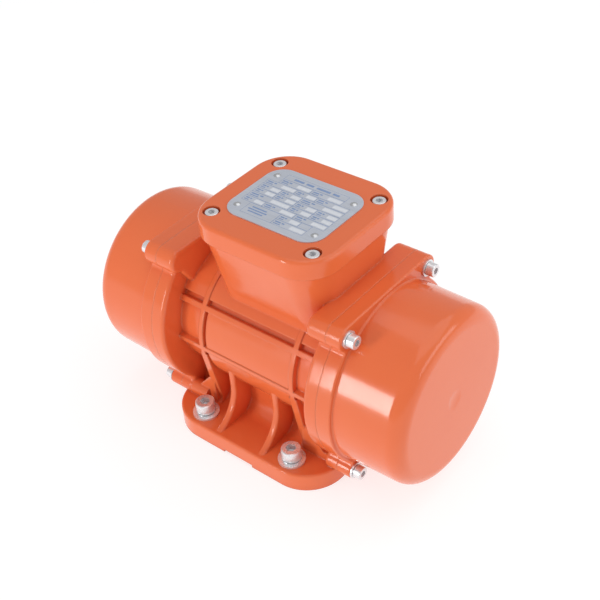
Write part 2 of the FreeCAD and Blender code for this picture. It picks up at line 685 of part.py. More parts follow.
def housing_cuts():
    """Everything machined out of the casting."""
    cuts = [
        disc(STATOR_BORE, -JOINT_X, JOINT_X),
        box_cavity(),
        Part.makeCylinder(GLAND_THREAD / 2 + SCREW_PLAY, BOX_HALF_Y, gland_point(BOX_HALF_Y / 2), Y_AXIS),
        post(WIRE_HOLE / 2, WIRE_HOLE_X, 0, STATOR_BORE / 2, BOX_FLOOR + 1),
        block(-RELIEF_WIDTH / 2, RELIEF_WIDTH / 2, -FOOT_WIDTH, FOOT_WIDTH,
              FLOOR_Z - 1, FLOOR_Z + RELIEF_DEPTH),
    ]
    groove_half = SEAL_SECTION / 2 + SEAL_PLAY
    for side in SIDES.values():
        cuts.append(on_side(disc(SHIELD_BORE, SHIELD_SEAT_X, JOINT_X + 1), side))
        groove = tube(SEAL_RADIUS + groove_half, SEAL_RADIUS - groove_half,
                      JOINT_X - 2 * groove_half, JOINT_X + 1)
        cuts.append(on_side(groove, side))
        for y, z in EARS:
            hole = disc(M5["thread"] / 2 + THREAD_PLAY, COVER_SEAT_X - COVER_SCREW_REACH, JOINT_X + 1, y, z)
            cuts.append(on_side(hole, side))
        for y, z in shield_screw_places():
            hole = disc(M4["thread"] / 2 + THREAD_PLAY,
                        JOINT_X + SHIELD_PLATE - SHIELD_SCREW_REACH, JOINT_X + 1, y, z)
            cuts.append(on_side(hole, side))
    cuts += [post(BOLT_HOLE / 2, x, y, FLOOR_Z - 1, FOOT_TOP + 1) for x, y in FOOT_HOLES]
    cuts += [post(M5["thread"] / 2 + THREAD_PLAY, x, y, LID_SCREW_SEAT - LID_SCREW_REACH, BOX_TOP + 1)
             for x, y in LID_SCREWS]
    cuts += [post(M4["thread"] / 2 + THREAD_PLAY, BOX_X + side * BLOCK_SCREW_X, BLOCK_Y,
                  BOX_FLOOR - FLOOR_THREAD, BOX_FLOOR + 1) for side in SIDES.values()]
    cuts.append(post(M5["thread"] / 2 + THREAD_PLAY, BOX_X + EARTH_X, EARTH_Y,
                     BOX_FLOOR - FLOOR_THREAD, BOX_FLOOR + 1))
    return cuts


def shield_screw_places():
    """Four screws on a circle, clear of the cover's ears."""
    angles = [math.radians(SHIELD_SCREW_ANGLE + 90 * k) for k in range(4)]
    return [(SHIELD_SCREW_RADIUS * math.cos(a), SHIELD_SCREW_RADIUS * math.sin(a)) for a in angles]


# End covers

def end_cover():
    """A cup with a flange, drilled at its ears, for the right-hand end."""
    tip_radius = COVER_RADIUS - COVER_TAPER
    cup = turned([(JOINT_X, 0), (COVER_END_X, 0), (COVER_END_X, tip_radius), (JOINT_X, COVER_RADIUS)])
    cup = rounded(cup, COVER_END_ROUND, lambda e: flat_at_x(e, COVER_END_X))
    body = joined([cup, flange(JOINT_X, COVER_SEAT_X)])
    body = rounded(body, COVER_BLEND, lambda e: flat_at_x(e, COVER_SEAT_X) and is_cup_edge(e))
    body = rounded(body, COVER_EDGE, lambda e: flat_at_x(e, COVER_SEAT_X) and is_rim_edge(e))
    inside_tip = COVER_END_X - COVER_WALL
    hollow = turned([(JOINT_X - 1, 0), (inside_tip, 0), (inside_tip, COVER_BORE - COVER_TAPER),
                     (JOINT_X + SHIELD_PLATE, COVER_BORE), (JOINT_X - 1, COVER_BORE)])
    hollow = rounded(hollow, COVER_END_ROUND - COVER_WALL, lambda e: flat_at_x(e, inside_tip))
    holes = [disc(M5["thread"] / 2 + SCREW_PLAY, JOINT_X - 1, COVER_SEAT_X + 1, y, z) for y, z in EARS]
    depth = COVER_DIMPLE_DEPTH
    dimple_radius = (COVER_DIMPLE ** 2 + depth ** 2) / (2 * depth)
    dimple = Part.makeSphere(dimple_radius, V(COVER_END_X + dimple_radius - depth, 0, 0))
    return body.cut(Part.makeCompound([hollow, dimple] + holes))


def is_cup_edge(edge):
    """True for the edge in which the cup leaves the flange's face."""
    return math.hypot(edge.Vertexes[0].Y, edge.Vertexes[0].Z) < COVER_RADIUS


def is_rim_edge(edge):
    """True for an edge on the flange's outline."""
    return min(math.hypot(v.Y, v.Z) for v in edge.Vertexes) > COVER_RADIUS + COVER_BLEND


def cover_screw(y, z):
    """One cover screw on its spring washer."""
    return placed(socket_screw(M5, COVER_SCREW_REACH + M5_WASHER["height"]),
                  V(COVER_SEAT_X + M5_WASHER["height"], y, z), X_AXIS)


def cover_washer(y, z):
    """The spring washer under one cover screw."""
    return placed(spring_washer(M5_WASHER), V(COVER_SEAT_X, y, z), X_AXIS)


def cover_seal():
    """The round cord seal in the flange's groove."""
    middle = V(JOINT_X - SEAL_SECTION / 2 - SEAL_PLAY, 0, 0)
    return Part.makeTorus(SEAL_RADIUS, SEAL_SECTION / 2, middle, X_AXIS)


# Terminal box

def terminal_lid():
    """The cap with counterbored screw holes and a hollow underside."""
    body = slab(BOX_X, BOX_HALF_X + LID_OVERHANG, BOX_HALF_Y + LID_OVERHANG,
                BOX_CORNER + LID_OVERHANG, LID_BOTTOM, LID_TOP)
    body = rounded(body, LID_EDGE, lambda e: flat_at_z(e, LID_TOP))
    hollow = slab(BOX_X, LID_SCREW_X / 2 - LID_BOSS_RADIUS, BOX_HALF_Y - BOX_WALL - 1, LID_BOSS_RADIUS,
                  LID_BOTTOM - 1, LID_TOP - LID_WALL)
    cuts = [hollow]
    for x, y in LID_SCREWS:
        cuts.append(post(M5["thread"] / 2 + SCREW_PLAY, x, y, LID_BOTTOM - 1, LID_TOP + 1))
        cuts.append(post(LID_COUNTERBORE / 2, x, y, LID_SCREW_SEAT, LID_TOP + 1))
    cuts += [post(RIVET_SHANK / 2, x, y, LID_TOP - RIVET_DEPTH, LID_TOP + 1) for x, y in rivet_places()]
    return body.cut(Part.makeCompound(cuts))


def lid_gasket():
    """The flat gasket on the box's rim and bosses."""
    rim = slab(BOX_X, BOX_HALF_X, BOX_HALF_Y, BOX_CORNER, BOX_TOP, LID_BOTTOM)
    window = slab(BOX_X, BOX_HALF_X - BOX_WALL, BOX_HALF_Y - BOX_WALL, BOX_CORNER - BOX_WALL,
                  BOX_TOP - 1, LID_BOTTOM + 1)
    bosses = [post(LID_BOSS_RADIUS, x, y, BOX_TOP, LID_BOTTOM) for x, y in LID_SCREWS]
    holes = [post(M5["thread"] / 2 + SCREW_PLAY, x, y, BOX_TOP - 1, LID_BOTTOM + 1) for x, y in LID_SCREWS]
    return joined([rim.cut(window)] + bosses).cut(Part.makeCompound(holes))


def lid_screws():
    """Four screws sunk in the lid."""
    screw = socket_screw(M5, LID_SCREW_REACH)
    return Part.makeCompound([placed(screw, V(x, y, LID_SCREW_SEAT), Z_AXIS) for x, y in LID_SCREWS])


def rivet_places():
    """The corners of the nameplate's rivet rectangle."""
    return [(BOX_X + x * RIVET_X / 2, y * RIVET_Y / 2) for x in (-1, 1) for y in (-1, 1)]


def nameplate():
    """The thin plate on the lid."""
    plate = slab(BOX_X, PLATE_LENGTH / 2, PLATE_WIDTH / 2, PLATE_CORNER, LID_TOP, LID_TOP + PLATE_THICKNESS)
    holes = [post(RIVET_SHANK / 2, x, y, LID_TOP - 1, LID_TOP + 1) for x, y in rivet_places()]
    return plate.cut(Part.makeCompound(holes))


def rivet(x, y):
    """A round-head drive rivet through the nameplate into the lid."""
    top = LID_TOP + PLATE_THICKNESS
    ball_radius = ((RIVET_HEAD / 2) ** 2 + RIVET_RISE ** 2) / (2 * RIVET_RISE)
    ball = Part.makeSphere(ball_radius, V(x, y, top + RIVET_RISE - ball_radius))
    head = ball.common(post(RIVET_HEAD, x, y, top, top + ball_radius))
    return head.fuse(post(RIVET_SHANK / 2 - FIT, x, y, LID_TOP - RIVET_DEPTH + FIT, top)).removeSplitter()


def terminal_block():
    """The moulded block with barriers between the phases."""
    x0 = BOX_X - BLOCK_LENGTH / 2
    body = block(x0, x0 + BLOCK_LENGTH, BLOCK_Y - BLOCK_WIDTH / 2, BLOCK_Y + BLOCK_WIDTH / 2,
                 BOX_FLOOR, BOX_FLOOR + BLOCK_HEIGHT)
    barriers = [
        block(x - 1, x + 1, BLOCK_Y - BLOCK_WIDTH / 2, BLOCK_Y + BLOCK_WIDTH / 2,
              BOX_FLOOR, BOX_FLOOR + BLOCK_HEIGHT + BARRIER)
        for x in (BOX_X - STUD_SPACING_X / 2, BOX_X + STUD_SPACING_X / 2)
    ]
    cuts = [post(STUD / 2 + FIT, x, y, BOX_FLOOR + BLOCK_HEIGHT - STUD_ROOT, BOX_FLOOR + BLOCK_HEIGHT + 1)
            for x, y in stud_places()]
    cuts += [post(M4["thread"] / 2 + SCREW_PLAY, BOX_X + side * BLOCK_SCREW_X, BLOCK_Y,
                  BOX_FLOOR - 1, BOX_FLOOR + BLOCK_HEIGHT + 1) for side in SIDES.values()]
    return joined([body] + barriers).cut(Part.makeCompound(cuts))


def stud_places():
    """Two rows of three studs."""
    return [(BOX_X + i * STUD_SPACING_X, BLOCK_Y + j * STUD_SPACING_Y / 2)
            for i in (-1, 0, 1) for j in (-1, 1)]


def terminal_studs():
    """Six brass studs."""
    top = BOX_FLOOR + BLOCK_HEIGHT
    studs = [post(STUD / 2, x, y, top - STUD_ROOT, top + STUD_RISE) for x, y in stud_places()]
    return Part.makeCompound(studs)


def terminal_nuts():
    """A nut on each stud."""
    piece = nut(TERMINAL_NUT, STUD + 2 * FIT, TERMINAL_NUT_THICKNESS)
    top = BOX_FLOOR + BLOCK_HEIGHT
    return Part.makeCompound([placed(piece, V(x, y, top), Z_AXIS) for x, y in stud_places()])


def block_screws():
    """Two screws that hold the terminal block down."""
    screw = socket_screw(M4, BLOCK_HEIGHT + FLOOR_THREAD)
    seat = BOX_FLOOR + BLOCK_HEIGHT
    return Part.makeCompound([placed(screw, V(BOX_X + side * BLOCK_SCREW_X, BLOCK_Y, seat), Z_AXIS)
                              for side in SIDES.values()])


# Cable gland, on the +Y wall

def gland_point(y):
    """A point on the gland's axis."""
    return V(BOX_X, y, GLAND_Z)


def gland_body():
    """Threaded stem, hexagon and the neck that takes the dome nut."""
    y1 = GLAND_SEAT_Y + GLAND_FLANGE
    y0 = GLAND_SEAT_Y - GLAND_THREAD_REACH
    stem = Part.makeCylinder(GLAND_THREAD / 2, GLAND_THREAD_REACH, gland_point(y0), Y_AXIS)
    grip = hexagon(GLAND_HEX, gland_point(GLAND_SEAT_Y), Y_AXIS, GLAND_FLANGE)
    neck = Part.makeCylinder(GLAND_NECK_RADIUS, GLAND_NECK, gland_point(y1), Y_AXIS)
    bore = Part.makeCylinder(GLAND_INSIDE, 3 * GLAND_HEX, gland_point(0), Y_AXIS)
    return joined([stem, grip, neck]).cut(bore)


def gland_locknut():
    """The nut behind the wall."""
    y0 = GLAND_SEAT_Y - GLAND_WALL - LOCKNUT
    return placed(nut(GLAND_HEX, GLAND_THREAD + 2 * FIT, LOCKNUT), gland_point(y0), Y_AXIS)


def gland_seal():
    """The rubber ring that grips the cable."""
    y0 = GLAND_SEAT_Y + GLAND_FLANGE + DOME_GAP
    ring = washer(2 * (GLAND_INSIDE - FIT), CABLE, CABLE_SEAL)
    return placed(ring, gland_point(y0), Y_AXIS)


def gland_nut():
    """The dome nut over the neck."""
    y0 = GLAND_SEAT_Y + GLAND_FLANGE + DOME_GAP
    y1 = y0 + DOME_HEX_LENGTH
    grip = hexagon(GLAND_HEX, gland_point(y0), Y_AXIS, DOME_HEX_LENGTH)
    dome = Part.makeCylinder(GLAND_HEX / 2 - 0.5, DOME_LENGTH, gland_point(y1), Y_AXIS)
    dome = rounded(dome, DOME_LENGTH - 1.5, lambda e: e.BoundBox.YMin > y1 + DOME_LENGTH - 1e-3)
    inside = Part.makeCylinder(GLAND_NECK_RADIUS + FIT, CABLE_SEAL + 1 + GAP, gland_point(y0 - 1), Y_AXIS)
    mouth = Part.makeCylinder(DOME_MOUTH, 2 * GLAND_HEX, gland_point(y0), Y_AXIS)
    return joined([grip, dome]).cut(inside).cut(mouth)


# Stator and rotor

def slots(half, inner, outer, width, clearance):
    """The bars of copper, or the slots cut for them, between two radii."""
    bars = []
    for k in range(SLOTS):
        bar = block(-half, half, -width / 2 + clearance, width / 2 - clearance,
                    inner + clearance, outer - clearance)
        bar.rotate(V(0, 0, 0), X_AXIS, 360 * k / SLOTS)
        bars.append(bar)
    return bars


def stator_core():
    """The slotted stack."""
    ring = tube(STATOR_BORE - FIT, STATOR_INSIDE, -STATOR_HALF, STATOR_HALF)
    openings = slots(STATOR_HALF + 1, STATOR_INSIDE - 1, SLOT_IN + 1, SLOT_OPENING, 0)
    return ring.cut(Part.makeCompound(slots(STATOR_HALF + 1, SLOT_IN, SLOT_OUT, SLOT_WIDTH, 0) + openings))


def stator_winding():
    """Copper in every slot, joined by a rounded end winding at each end."""
    x1 = STATOR_HALF + GAP + WINDING_REACH
    end = tube(WINDING_OUT, WINDING_IN, STATOR_HALF + GAP, x1)
    end = rounded(end, WINDING_ROUND, lambda e: flat_at_x(e, x1))
    copper = slots(STATOR_HALF + 1, SLOT_IN, SLOT_OUT, SLOT_WIDTH, SLOT_LINER)
    return joined(copper + [on_side(end, side) for side in SIDES.values()])


def bar_places():
    """Centres of the rotor's bars."""
    return [(BAR_CIRCLE * math.cos(2 * math.pi * k / BARS), BAR_CIRCLE * math.sin(2 * math.pi * k / BARS))
            for k in range(BARS)]


def rotor_core():
    """The stack on the shaft, with a hole for each bar."""
    ring = tube(STATOR_INSIDE - AIR_GAP, SHAFT_BODY / 2 + FIT, -STATOR_HALF, STATOR_HALF)
    holes = [disc(BAR / 2 + FIT, -STATOR_HALF - 1, STATOR_HALF + 1, y, z) for y, z in bar_places()]
    return ring.cut(Part.makeCompound(holes))


def rotor_cage():
    """Cast aluminium bars between two end rings."""
    ring = tube(STATOR_INSIDE - 1, END_RING_IN, STATOR_HALF, STATOR_HALF + END_RING)
    bars = [disc(BAR / 2, -STATOR_HALF - 1, STATOR_HALF + 1, y, z) for y, z in bar_places()]
    return joined(bars + [on_side(ring, side) for side in SIDES.values()])


def shaft():
    """The stepped shaft, with a keyway and a circlip groove at each end."""
    half = SHAFT_HALF
    body = turned([(-half, 0), (half, 0), (half, SHAFT_RADIUS - 1), (half - 1, SHAFT_RADIUS),
                   (BEARING_IN_X, SHAFT_RADIUS), (BEARING_IN_X, SHAFT_BODY / 2),
                   (-BEARING_IN_X, SHAFT_BODY / 2), (-BEARING_IN_X, SHAFT_RADIUS),
                   (1 - half, SHAFT_RADIUS), (-half, SHAFT_RADIUS - 1)])
    groove = tube(SHAFT_RADIUS + 1, SHAFT_RADIUS - CIRCLIP_DEPTH,
                  CIRCLIP_X, CIRCLIP_X + CIRCLIP_THICKNESS + FIT)
    return body.cut(both_sides(groove.fuse(key_shape(FIT))))


# Bearings and shields

def race():
    """The torus in which the balls run."""
    return Part.makeTorus(PITCH, BALL / 2 + BALL_RUN, V(BEARING_MIDDLE, 0, 0), X_AXIS)


def bearing_outer():
    """Outer ring with its groove."""
    return tube(BEARING_OUTER / 2 - FIT, OUTER_SHOULDER, BEARING_IN_X, BEARING_OUT_X).cut(race())


def bearing_inner():
    """Inner ring with its groove."""
    return tube(INNER_SHOULDER, SHAFT_RADIUS + FIT, BEARING_IN_X, BEARING_OUT_X).cut(race())


def ball_centres():
    """Ball centres on the pitch circle."""
    turn = 2 * math.pi / BALLS
    return [V(BEARING_MIDDLE, PITCH * math.cos(turn * k), PITCH * math.sin(turn * k)) for k in range(BALLS)]


def bearing_balls():
    """The balls as separate solids."""
    return Part.makeCompound([Part.makeSphere(BALL / 2, centre) for centre in ball_centres()])


def bearing_cage():
    """A ring with a round pocket for each ball."""
    half = BALL / 2 + BALL_RUN + CAGE_SIDE
    ring = tube(PITCH + CAGE_THICKNESS / 2, PITCH - CAGE_THICKNESS / 2,
                BEARING_MIDDLE - half, BEARING_MIDDLE + half)
    pockets = [Part.makeCylinder(BALL / 2 + BALL_RUN, 2 * PITCH, V(BEARING_MIDDLE, 0, 0), V(0, c.y, c.z))
               for c in ball_centres()]
    return ring.cut(Part.makeCompound(pockets))


def bearing_shield():
    """The end plate that is spigoted in the housing and carries the bearing."""
    hub_in = BEARING_IN_X - HUB_LIP
    hub_out = BEARING_OUT_X + HUB_REACH
    plate_out = JOINT_X + SHIELD_PLATE
    spigot = SHIELD_BORE - FIT
    seat = BEARING_OUTER / 2
    profile = [
        (hub_in, HUB_LIP_BORE), (BEARING_IN_X, HUB_LIP_BORE), (BEARING_IN_X, seat), (hub_out, seat),
        (hub_out, HUB_RADIUS), (plate_out, HUB_RADIUS + 1), (plate_out, SHIELD_RADIUS),
        (JOINT_X, SHIELD_RADIUS), (JOINT_X, spigot), (SHIELD_SEAT_X, spigot),
        (SHIELD_SEAT_X, spigot - SHIELD_WEB), (plate_out - SHIELD_WEB, spigot - SHIELD_WEB - 1),
        (plate_out - SHIELD_WEB, HUB_RADIUS), (hub_in, HUB_RADIUS - 1),
    ]
    groove = tube(seat + RETAINER_DEPTH + FIT, seat - 1, BEARING_OUT_X + FIT,
                  BEARING_OUT_X + 2 * FIT + RETAINER_THICKNESS)
    holes = [disc(M4["thread"] / 2 + SCREW_PLAY, JOINT_X - 1, plate_out + 1, y, z)
             for y, z in shield_screw_places()]
    return turned(profile).cut(Part.makeCompound([groove] + holes))


def shield_screws():
    """Four screws in the right-hand shield."""
    screw = socket_screw(M4, SHIELD_SCREW_REACH)
    return Part.makeCompound([placed(screw, V(JOINT_X + SHIELD_PLATE, y, z), X_AXIS)
                              for y, z in shield_screw_places()])


def bearing_retainer():
    """The sprung ring that holds the bearing in its shield."""
    x0 = BEARING_OUT_X + FIT
    outer = BEARING_OUTER / 2 + RETAINER_DEPTH
    profile = [(x0, RETAINER_INSIDE), (x0 + RETAINER_THICKNESS, RETAINER_INSIDE),
               (x0 + RETAINER_THICKNESS, outer), (x0, outer)]
    ring = turned(profile, 360 - RETAINER_MOUTH)
    ring.rotate(V(0, 0, 0), X_AXIS, RETAINER_MOUTH / 2)
    return ring


# Weights

def key_shape(play):
    """The key between shaft and fixed weight, grown by a clearance."""
    x0 = WEIGHT_START + KEY_INSET
    x1 = WEIGHT_START + WEIGHT_THICKNESS - KEY_INSET
    base = -SHAFT_RADIUS - KEY_HEIGHT / 2
    return block(x0 - play, x1 + play, -KEY_WIDTH / 2 - play, KEY_WIDTH / 2 + play,
                 base - play, base + KEY_HEIGHT + play)


def weight(x0, bore):
    """A fan-shaped weight that hangs down, with a split hub clamped above the shaft."""
    x1 = x0 + WEIGHT_THICKNESS
    reach = 2 * WEIGHT_RADIUS
    angle = math.radians(WEIGHT_HALF_ANGLE)
    fan = polygon_yz([(0, 0), (-reach * math.sin(angle), -reach * math.cos(angle)), (-reach, -reach),
                      (reach, -reach), (reach * math.sin(angle), -reach * math.cos(angle))])
    lobe = disc(WEIGHT_RADIUS, x0, x1).common(across(fan, x0, x1))
    lugs = block(x0, x1, -LUG_HALF, LUG_HALF, 0, LUG_TOP)
    body = joined([lobe, disc(WEIGHT_HUB, x0, x1), lugs])
    cuts = [disc(bore, x0 - 1, x1 + 1), block(x0 - 1, x1 + 1, -LUG_SLOT / 2, LUG_SLOT / 2, 0, LUG_TOP + 1)]
    hole = Part.makeCylinder(M8["thread"] / 2 + THREAD_PLAY, 4 * LUG_HALF,
                             V((x0 + x1) / 2, -2 * LUG_HALF, CLAMP_BOLT_Z), Y_AXIS)
    return body.cut(Part.makeCompound(cuts + [hole]))


def fixed_weight():
    """The keyed weight next to the bearing."""
    body = weight(WEIGHT_START, SHAFT_RADIUS + FIT)
    keyway = block(WEIGHT_START - 1, WEIGHT_START + WEIGHT_THICKNESS + 1, -KEY_WIDTH / 2 - FIT,
                   KEY_WIDTH / 2 + FIT, -SHAFT_RADIUS - KEY_HEIGHT / 2 - FIT, 0)
    return body.cut(keyway)


def clamp_bolt(x0):
    """The bolt across a weight's split hub."""
    screw = socket_screw(M8, 2 * LUG_HALF)
    return placed(screw, V(x0 + WEIGHT_THICKNESS / 2, -LUG_HALF, CLAMP_BOLT_Z), V(0, -1, 0))


def shaft_spacer():
    """The sleeve between bearing and fixed weight."""
    return tube(SPACER_RADIUS, SHAFT_RADIUS + FIT, BEARING_OUT_X, WEIGHT_START)


def scale_disc():
    """The disc against which the adjustable weight is set."""
    return tube(SCALE_RADIUS, SHAFT_RADIUS + FIT, SCALE_X, SCALE_X + SCALE_THICKNESS)


def shaft_washer():
    """The washer outside the adjustable weight."""
    return tube(SHAFT_WASHER_RADIUS, SHAFT_RADIUS + FIT, SHAFT_WASHER_X, SHAFT_WASHER_X + SHAFT_WASHER)


def shaft_circlip():
    """The open ring in the shaft's groove."""
    x1 = CIRCLIP_X + CIRCLIP_THICKNESS
    inner = SHAFT_RADIUS - CIRCLIP_DEPTH + FIT
    outer = SHAFT_RADIUS + CIRCLIP_RIM
    ring = turned([(CIRCLIP_X, inner), (x1, inner), (x1, outer), (CIRCLIP_X, outer)], 360 - RETAINER_MOUTH)
    ring.rotate(V(0, 0, 0), X_AXIS, RETAINER_MOUTH / 2)
    return ring


# Foot washers

def foot_washers():
    """A conical spring washer at each foot hole."""
    ring = spring_washer(M8_WASHER)
    return Part.makeCompound([placed(ring, V(x, y, FOOT_TOP), Z_AXIS) for x, y in FOOT_HOLES])


# Writing the sub-parts

def save_pairs():
    """Sub-parts of which each end has its own node."""
    makers = {
        "end_cover": end_cover(),
        "bearing_shield": bearing_shield(),
        "bearing_outer": bearing_outer(),
        "bearing_inner": bearing_inner(),
        "bearing_balls": bearing_balls(),
        "bearing_cage": bearing_cage(),
        "fixed_weight": fixed_weight(),
        "adjustable_weight": weight(ADJUSTABLE_X, SHAFT_RADIUS + RUN),
        "adjustable_clamp_bolt": clamp_bolt(ADJUSTABLE_X),
    }
    for name, shape in makers.items():
        for side_name, side in SIDES.items():
            save(name + "_" + side_name, on_side(shape, side))


def save_groups():
    """Identical small pieces that share a node."""
    screws = Part.makeCompound([cover_screw(y, z) for y, z in EARS])
    washers = Part.makeCompound([cover_washer(y, z) for y, z in EARS])
    save("cover_screws", both_sides(screws))
    save("cover_washers", both_sides(washers))
    save("cover_seals", both_sides(cover_seal()))
    save("shield_screws", both_sides(shield_screws()))
    save("bearing_retainers", both_sides(bearing_retainer()))
    save("shaft_spacers", both_sides(shaft_spacer()))
    save("weight_keys", both_sides(key_shape(0)))
    save("fixed_clamp_bolts", both_sides(clamp_bolt(WEIGHT_START)))
    save("scale_discs", both_sides(scale_disc()))
    save("shaft_washers", both_sides(shaft_washer()))
    save("shaft_circlips", both_sides(shaft_circlip()))
    save("lid_screws", lid_screws())
    save("nameplate_rivets", Part.makeCompound([rivet(x, y) for x, y in rivet_places()]))
    save("terminal_studs", terminal_studs())
    save("terminal_nuts", terminal_nuts())
    save("terminal_block_screws", block_screws())
    save("foot_washers", foot_washers())


def save_singles():
    """Sub-parts of which there is one."""
    save("housing", housing())
    save("terminal_lid", terminal_lid())
    save("lid_gasket", lid_gasket())
    save("nameplate", nameplate())
    save("terminal_block", terminal_block())
    earth = V(BOX_X + EARTH_X, EARTH_Y, BOX_FLOOR)
    save("earth_screw", placed(socket_screw(M5, FLOOR_THREAD), earth, Z_AXIS))
    save("gland_body", gland_body())
    save("gland_locknut", gland_locknut())
    save("gland_seal", gland_seal())
    save("gland_nut", gland_nut())
    save("stator_core", stator_core())
    save("stator_winding", stator_winding())
    save("rotor_core", rotor_core())
    save("rotor_cage", rotor_cage())
    save("shaft", shaft())


os.makedirs("parts", exist_ok=True)
save_singles()
save_pairs()
save_groups()
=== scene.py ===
import bpy
import json
import math
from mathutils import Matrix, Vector


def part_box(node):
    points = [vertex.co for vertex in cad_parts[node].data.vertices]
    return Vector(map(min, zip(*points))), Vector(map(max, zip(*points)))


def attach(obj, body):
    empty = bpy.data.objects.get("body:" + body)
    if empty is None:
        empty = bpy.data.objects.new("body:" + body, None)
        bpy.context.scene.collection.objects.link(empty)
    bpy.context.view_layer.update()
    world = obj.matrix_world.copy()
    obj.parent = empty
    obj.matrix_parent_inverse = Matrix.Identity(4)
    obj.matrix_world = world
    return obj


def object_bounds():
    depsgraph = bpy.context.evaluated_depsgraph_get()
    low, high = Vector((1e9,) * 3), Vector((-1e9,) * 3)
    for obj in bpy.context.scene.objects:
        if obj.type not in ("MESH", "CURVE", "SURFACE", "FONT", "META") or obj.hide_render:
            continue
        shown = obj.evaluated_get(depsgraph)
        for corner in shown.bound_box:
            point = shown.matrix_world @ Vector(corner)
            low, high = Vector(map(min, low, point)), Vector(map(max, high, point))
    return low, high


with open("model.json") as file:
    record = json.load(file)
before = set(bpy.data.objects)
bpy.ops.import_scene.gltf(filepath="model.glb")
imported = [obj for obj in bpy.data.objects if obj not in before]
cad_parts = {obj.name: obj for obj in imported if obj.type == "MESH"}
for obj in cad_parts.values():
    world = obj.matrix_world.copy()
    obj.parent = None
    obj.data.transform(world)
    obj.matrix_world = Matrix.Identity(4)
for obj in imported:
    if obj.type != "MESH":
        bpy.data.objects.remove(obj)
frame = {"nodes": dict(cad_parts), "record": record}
cad_low, cad_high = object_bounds()
part = frame["nodes"]

# ---------------------------------------------------------------------------------------------
# Table and light. The motor stands on a plain white light table. A soft box stands low in front
# of it, another to its right, a large weak one hangs overhead, and the room is pale all round.
# ---------------------------------------------------------------------------------------------
camera_data = bpy.data.cameras.new("camera")
camera_data.lens = 64.28
camera_data.sensor_width = 36.0
camera = bpy.data.objects.new("camera", camera_data)
camera.location = (0.3602, -0.3929, 0.5160)
camera.rotation_euler = (math.radians(51.2435), math.radians(3.9032), math.radians(38.7415))
bpy.context.scene.collection.objects.link(camera)
bpy.context.scene.camera = camera
bpy.context.scene.view_settings.view_transform = "Standard"


def soft_box(name, place, aim, width, height, watts):
    """A rectangular lamp that faces the point it is aimed at."""
    lamp = bpy.data.lights.new(name, "AREA")
    lamp.shape = "RECTANGLE"
    lamp.size = width
    lamp.size_y = height
    lamp.energy = watts
    holder = bpy.data.objects.new(name, lamp)
    holder.location = place
    holder.rotation_euler = (Vector(aim) - Vector(place)).to_track_quat("-Z", "Y").to_euler()
    bpy.context.scene.collection.objects.link(holder)


soft_box("front_light", (-0.42, -1.20, 0.30), (0.0, 0.0, 0.08), 0.27, 0.50, 5.2)
soft_box("overhead_light", (0.25, 0.35, 1.40), (0.0, 0.0, 0.0), 1.60, 1.60, 6.6)
soft_box("right_light", (1.10, 0.35, 0.50), (0.1, 0.0, 0.08), 1.10, 0.34, 2.6)

room = bpy.data.worlds.new("pale_room")
room.use_nodes = True
bpy.context.scene.world = room
room_light = room.node_tree.nodes["Background"]
room_light.inputs["Color"].default_value = (1.0, 1.0, 1.0, 1.0)
room_light.inputs["Strength"].default_value = 0.54


def put(tree, kind, inputs=None, **settings):
    """Adds one shader node; each input is given as a value or as a link."""
    made = tree.nodes.new("ShaderNode" + kind)
    for name, value in settings.items():
        setattr(made, name, value)
    for name, value in (inputs or {}).items():
        if isinstance(value, bpy.types.NodeSocket):
            tree.links.new(value, made.inputs[name])
        else:
            made.inputs[name].default_value = value
    return made


def blended(tree, share, first, second):
    """A colour between two others; each is three numbers or a link."""
    ends = [(*c, 1.0) if isinstance(c, tuple) else c for c in (first, second)]
    return put(tree, "Mix", {"Factor": share, 6: ends[0], 7: ends[1]}, data_type="RGBA").outputs[2]


def spread(tree, value, from_low, from_high, to_low, to_high):
    """A value moved from one range to another, held at its ends."""
    return put(tree, "MapRange", {0: value, 1: from_low, 2: from_high, 3: to_low, 4: to_high}).outputs[0]


def noise(tree, place, scale, detail):
    """A cloudy value; scale is in features to the metre."""
    return put(tree, "TexNoise", {"Vector": place, "Scale": scale, "Detail": detail}).outputs["Fac"]


TABLE_SIZE = 8.0
TABLE_GAP = 0.0003

bpy.ops.object.select_all(action="DESELECT")
bpy.ops.mesh.primitive_plane_add(size=TABLE_SIZE, location=(0.0, 0.0, cad_low.z - TABLE_GAP))
table = bpy.context.object
table.name = "table"
table_white = bpy.data.materials.new("table_white")
table_white.use_nodes = True
tree = table_white.node_tree
board = tree.nodes["Principled BSDF"]
board.inputs["Roughness"].default_value = 0.9
board.inputs["Specular IOR Level"].default_value = 0.1
board.inputs["Emission Color"].default_value = (1.0, 1.0, 1.0, 1.0)
board.inputs["Emission Strength"].default_value = 0.72
place = put(tree, "TexCoord").outputs["Object"]
shade = blended(tree, noise(tree, place, 6.0, 2.0), (0.37, 0.37, 0.37), (0.39, 0.39, 0.39))
tree.links.new(shade, board.inputs["Base Color"])
table.data.materials.append(table_white)

# ---------------------------------------------------------------------------------------------
# Housing. One aluminium casting: ribbed barrel, foot, gussets and the box for the terminals.
# After machining it is sprayed with orange enamel, which draws thin over the edges and lies
# with a faint ripple. Its hollows are painted darker and redder: pooled enamel and painted shade.
# ---------------------------------------------------------------------------------------------


def finish(name, metallic=0.0):
    """A new material with its tree, its shader and the place on the piece."""
    made = bpy.data.materials.new(name)
    made.use_nodes = True
    tree = made.node_tree
    shader = tree.nodes["Principled BSDF"]
    shader.inputs["Metallic"].default_value = metallic
    return made, tree, shader, put(tree, "TexCoord").outputs["Object"]


def colour_from(tree, shader, colour):
    """Gives the shader its colour."""
    tree.links.new(colour, shader.inputs["Base Color"])


def polish_from(tree, shader, cloud, bright, dull, low=0.3, high=0.7):
    """Lets the polish wander between bright and dull as the cloud goes from low to high."""
    tree.links.new(spread(tree, cloud, low, high, bright, dull), shader.inputs["Roughness"])


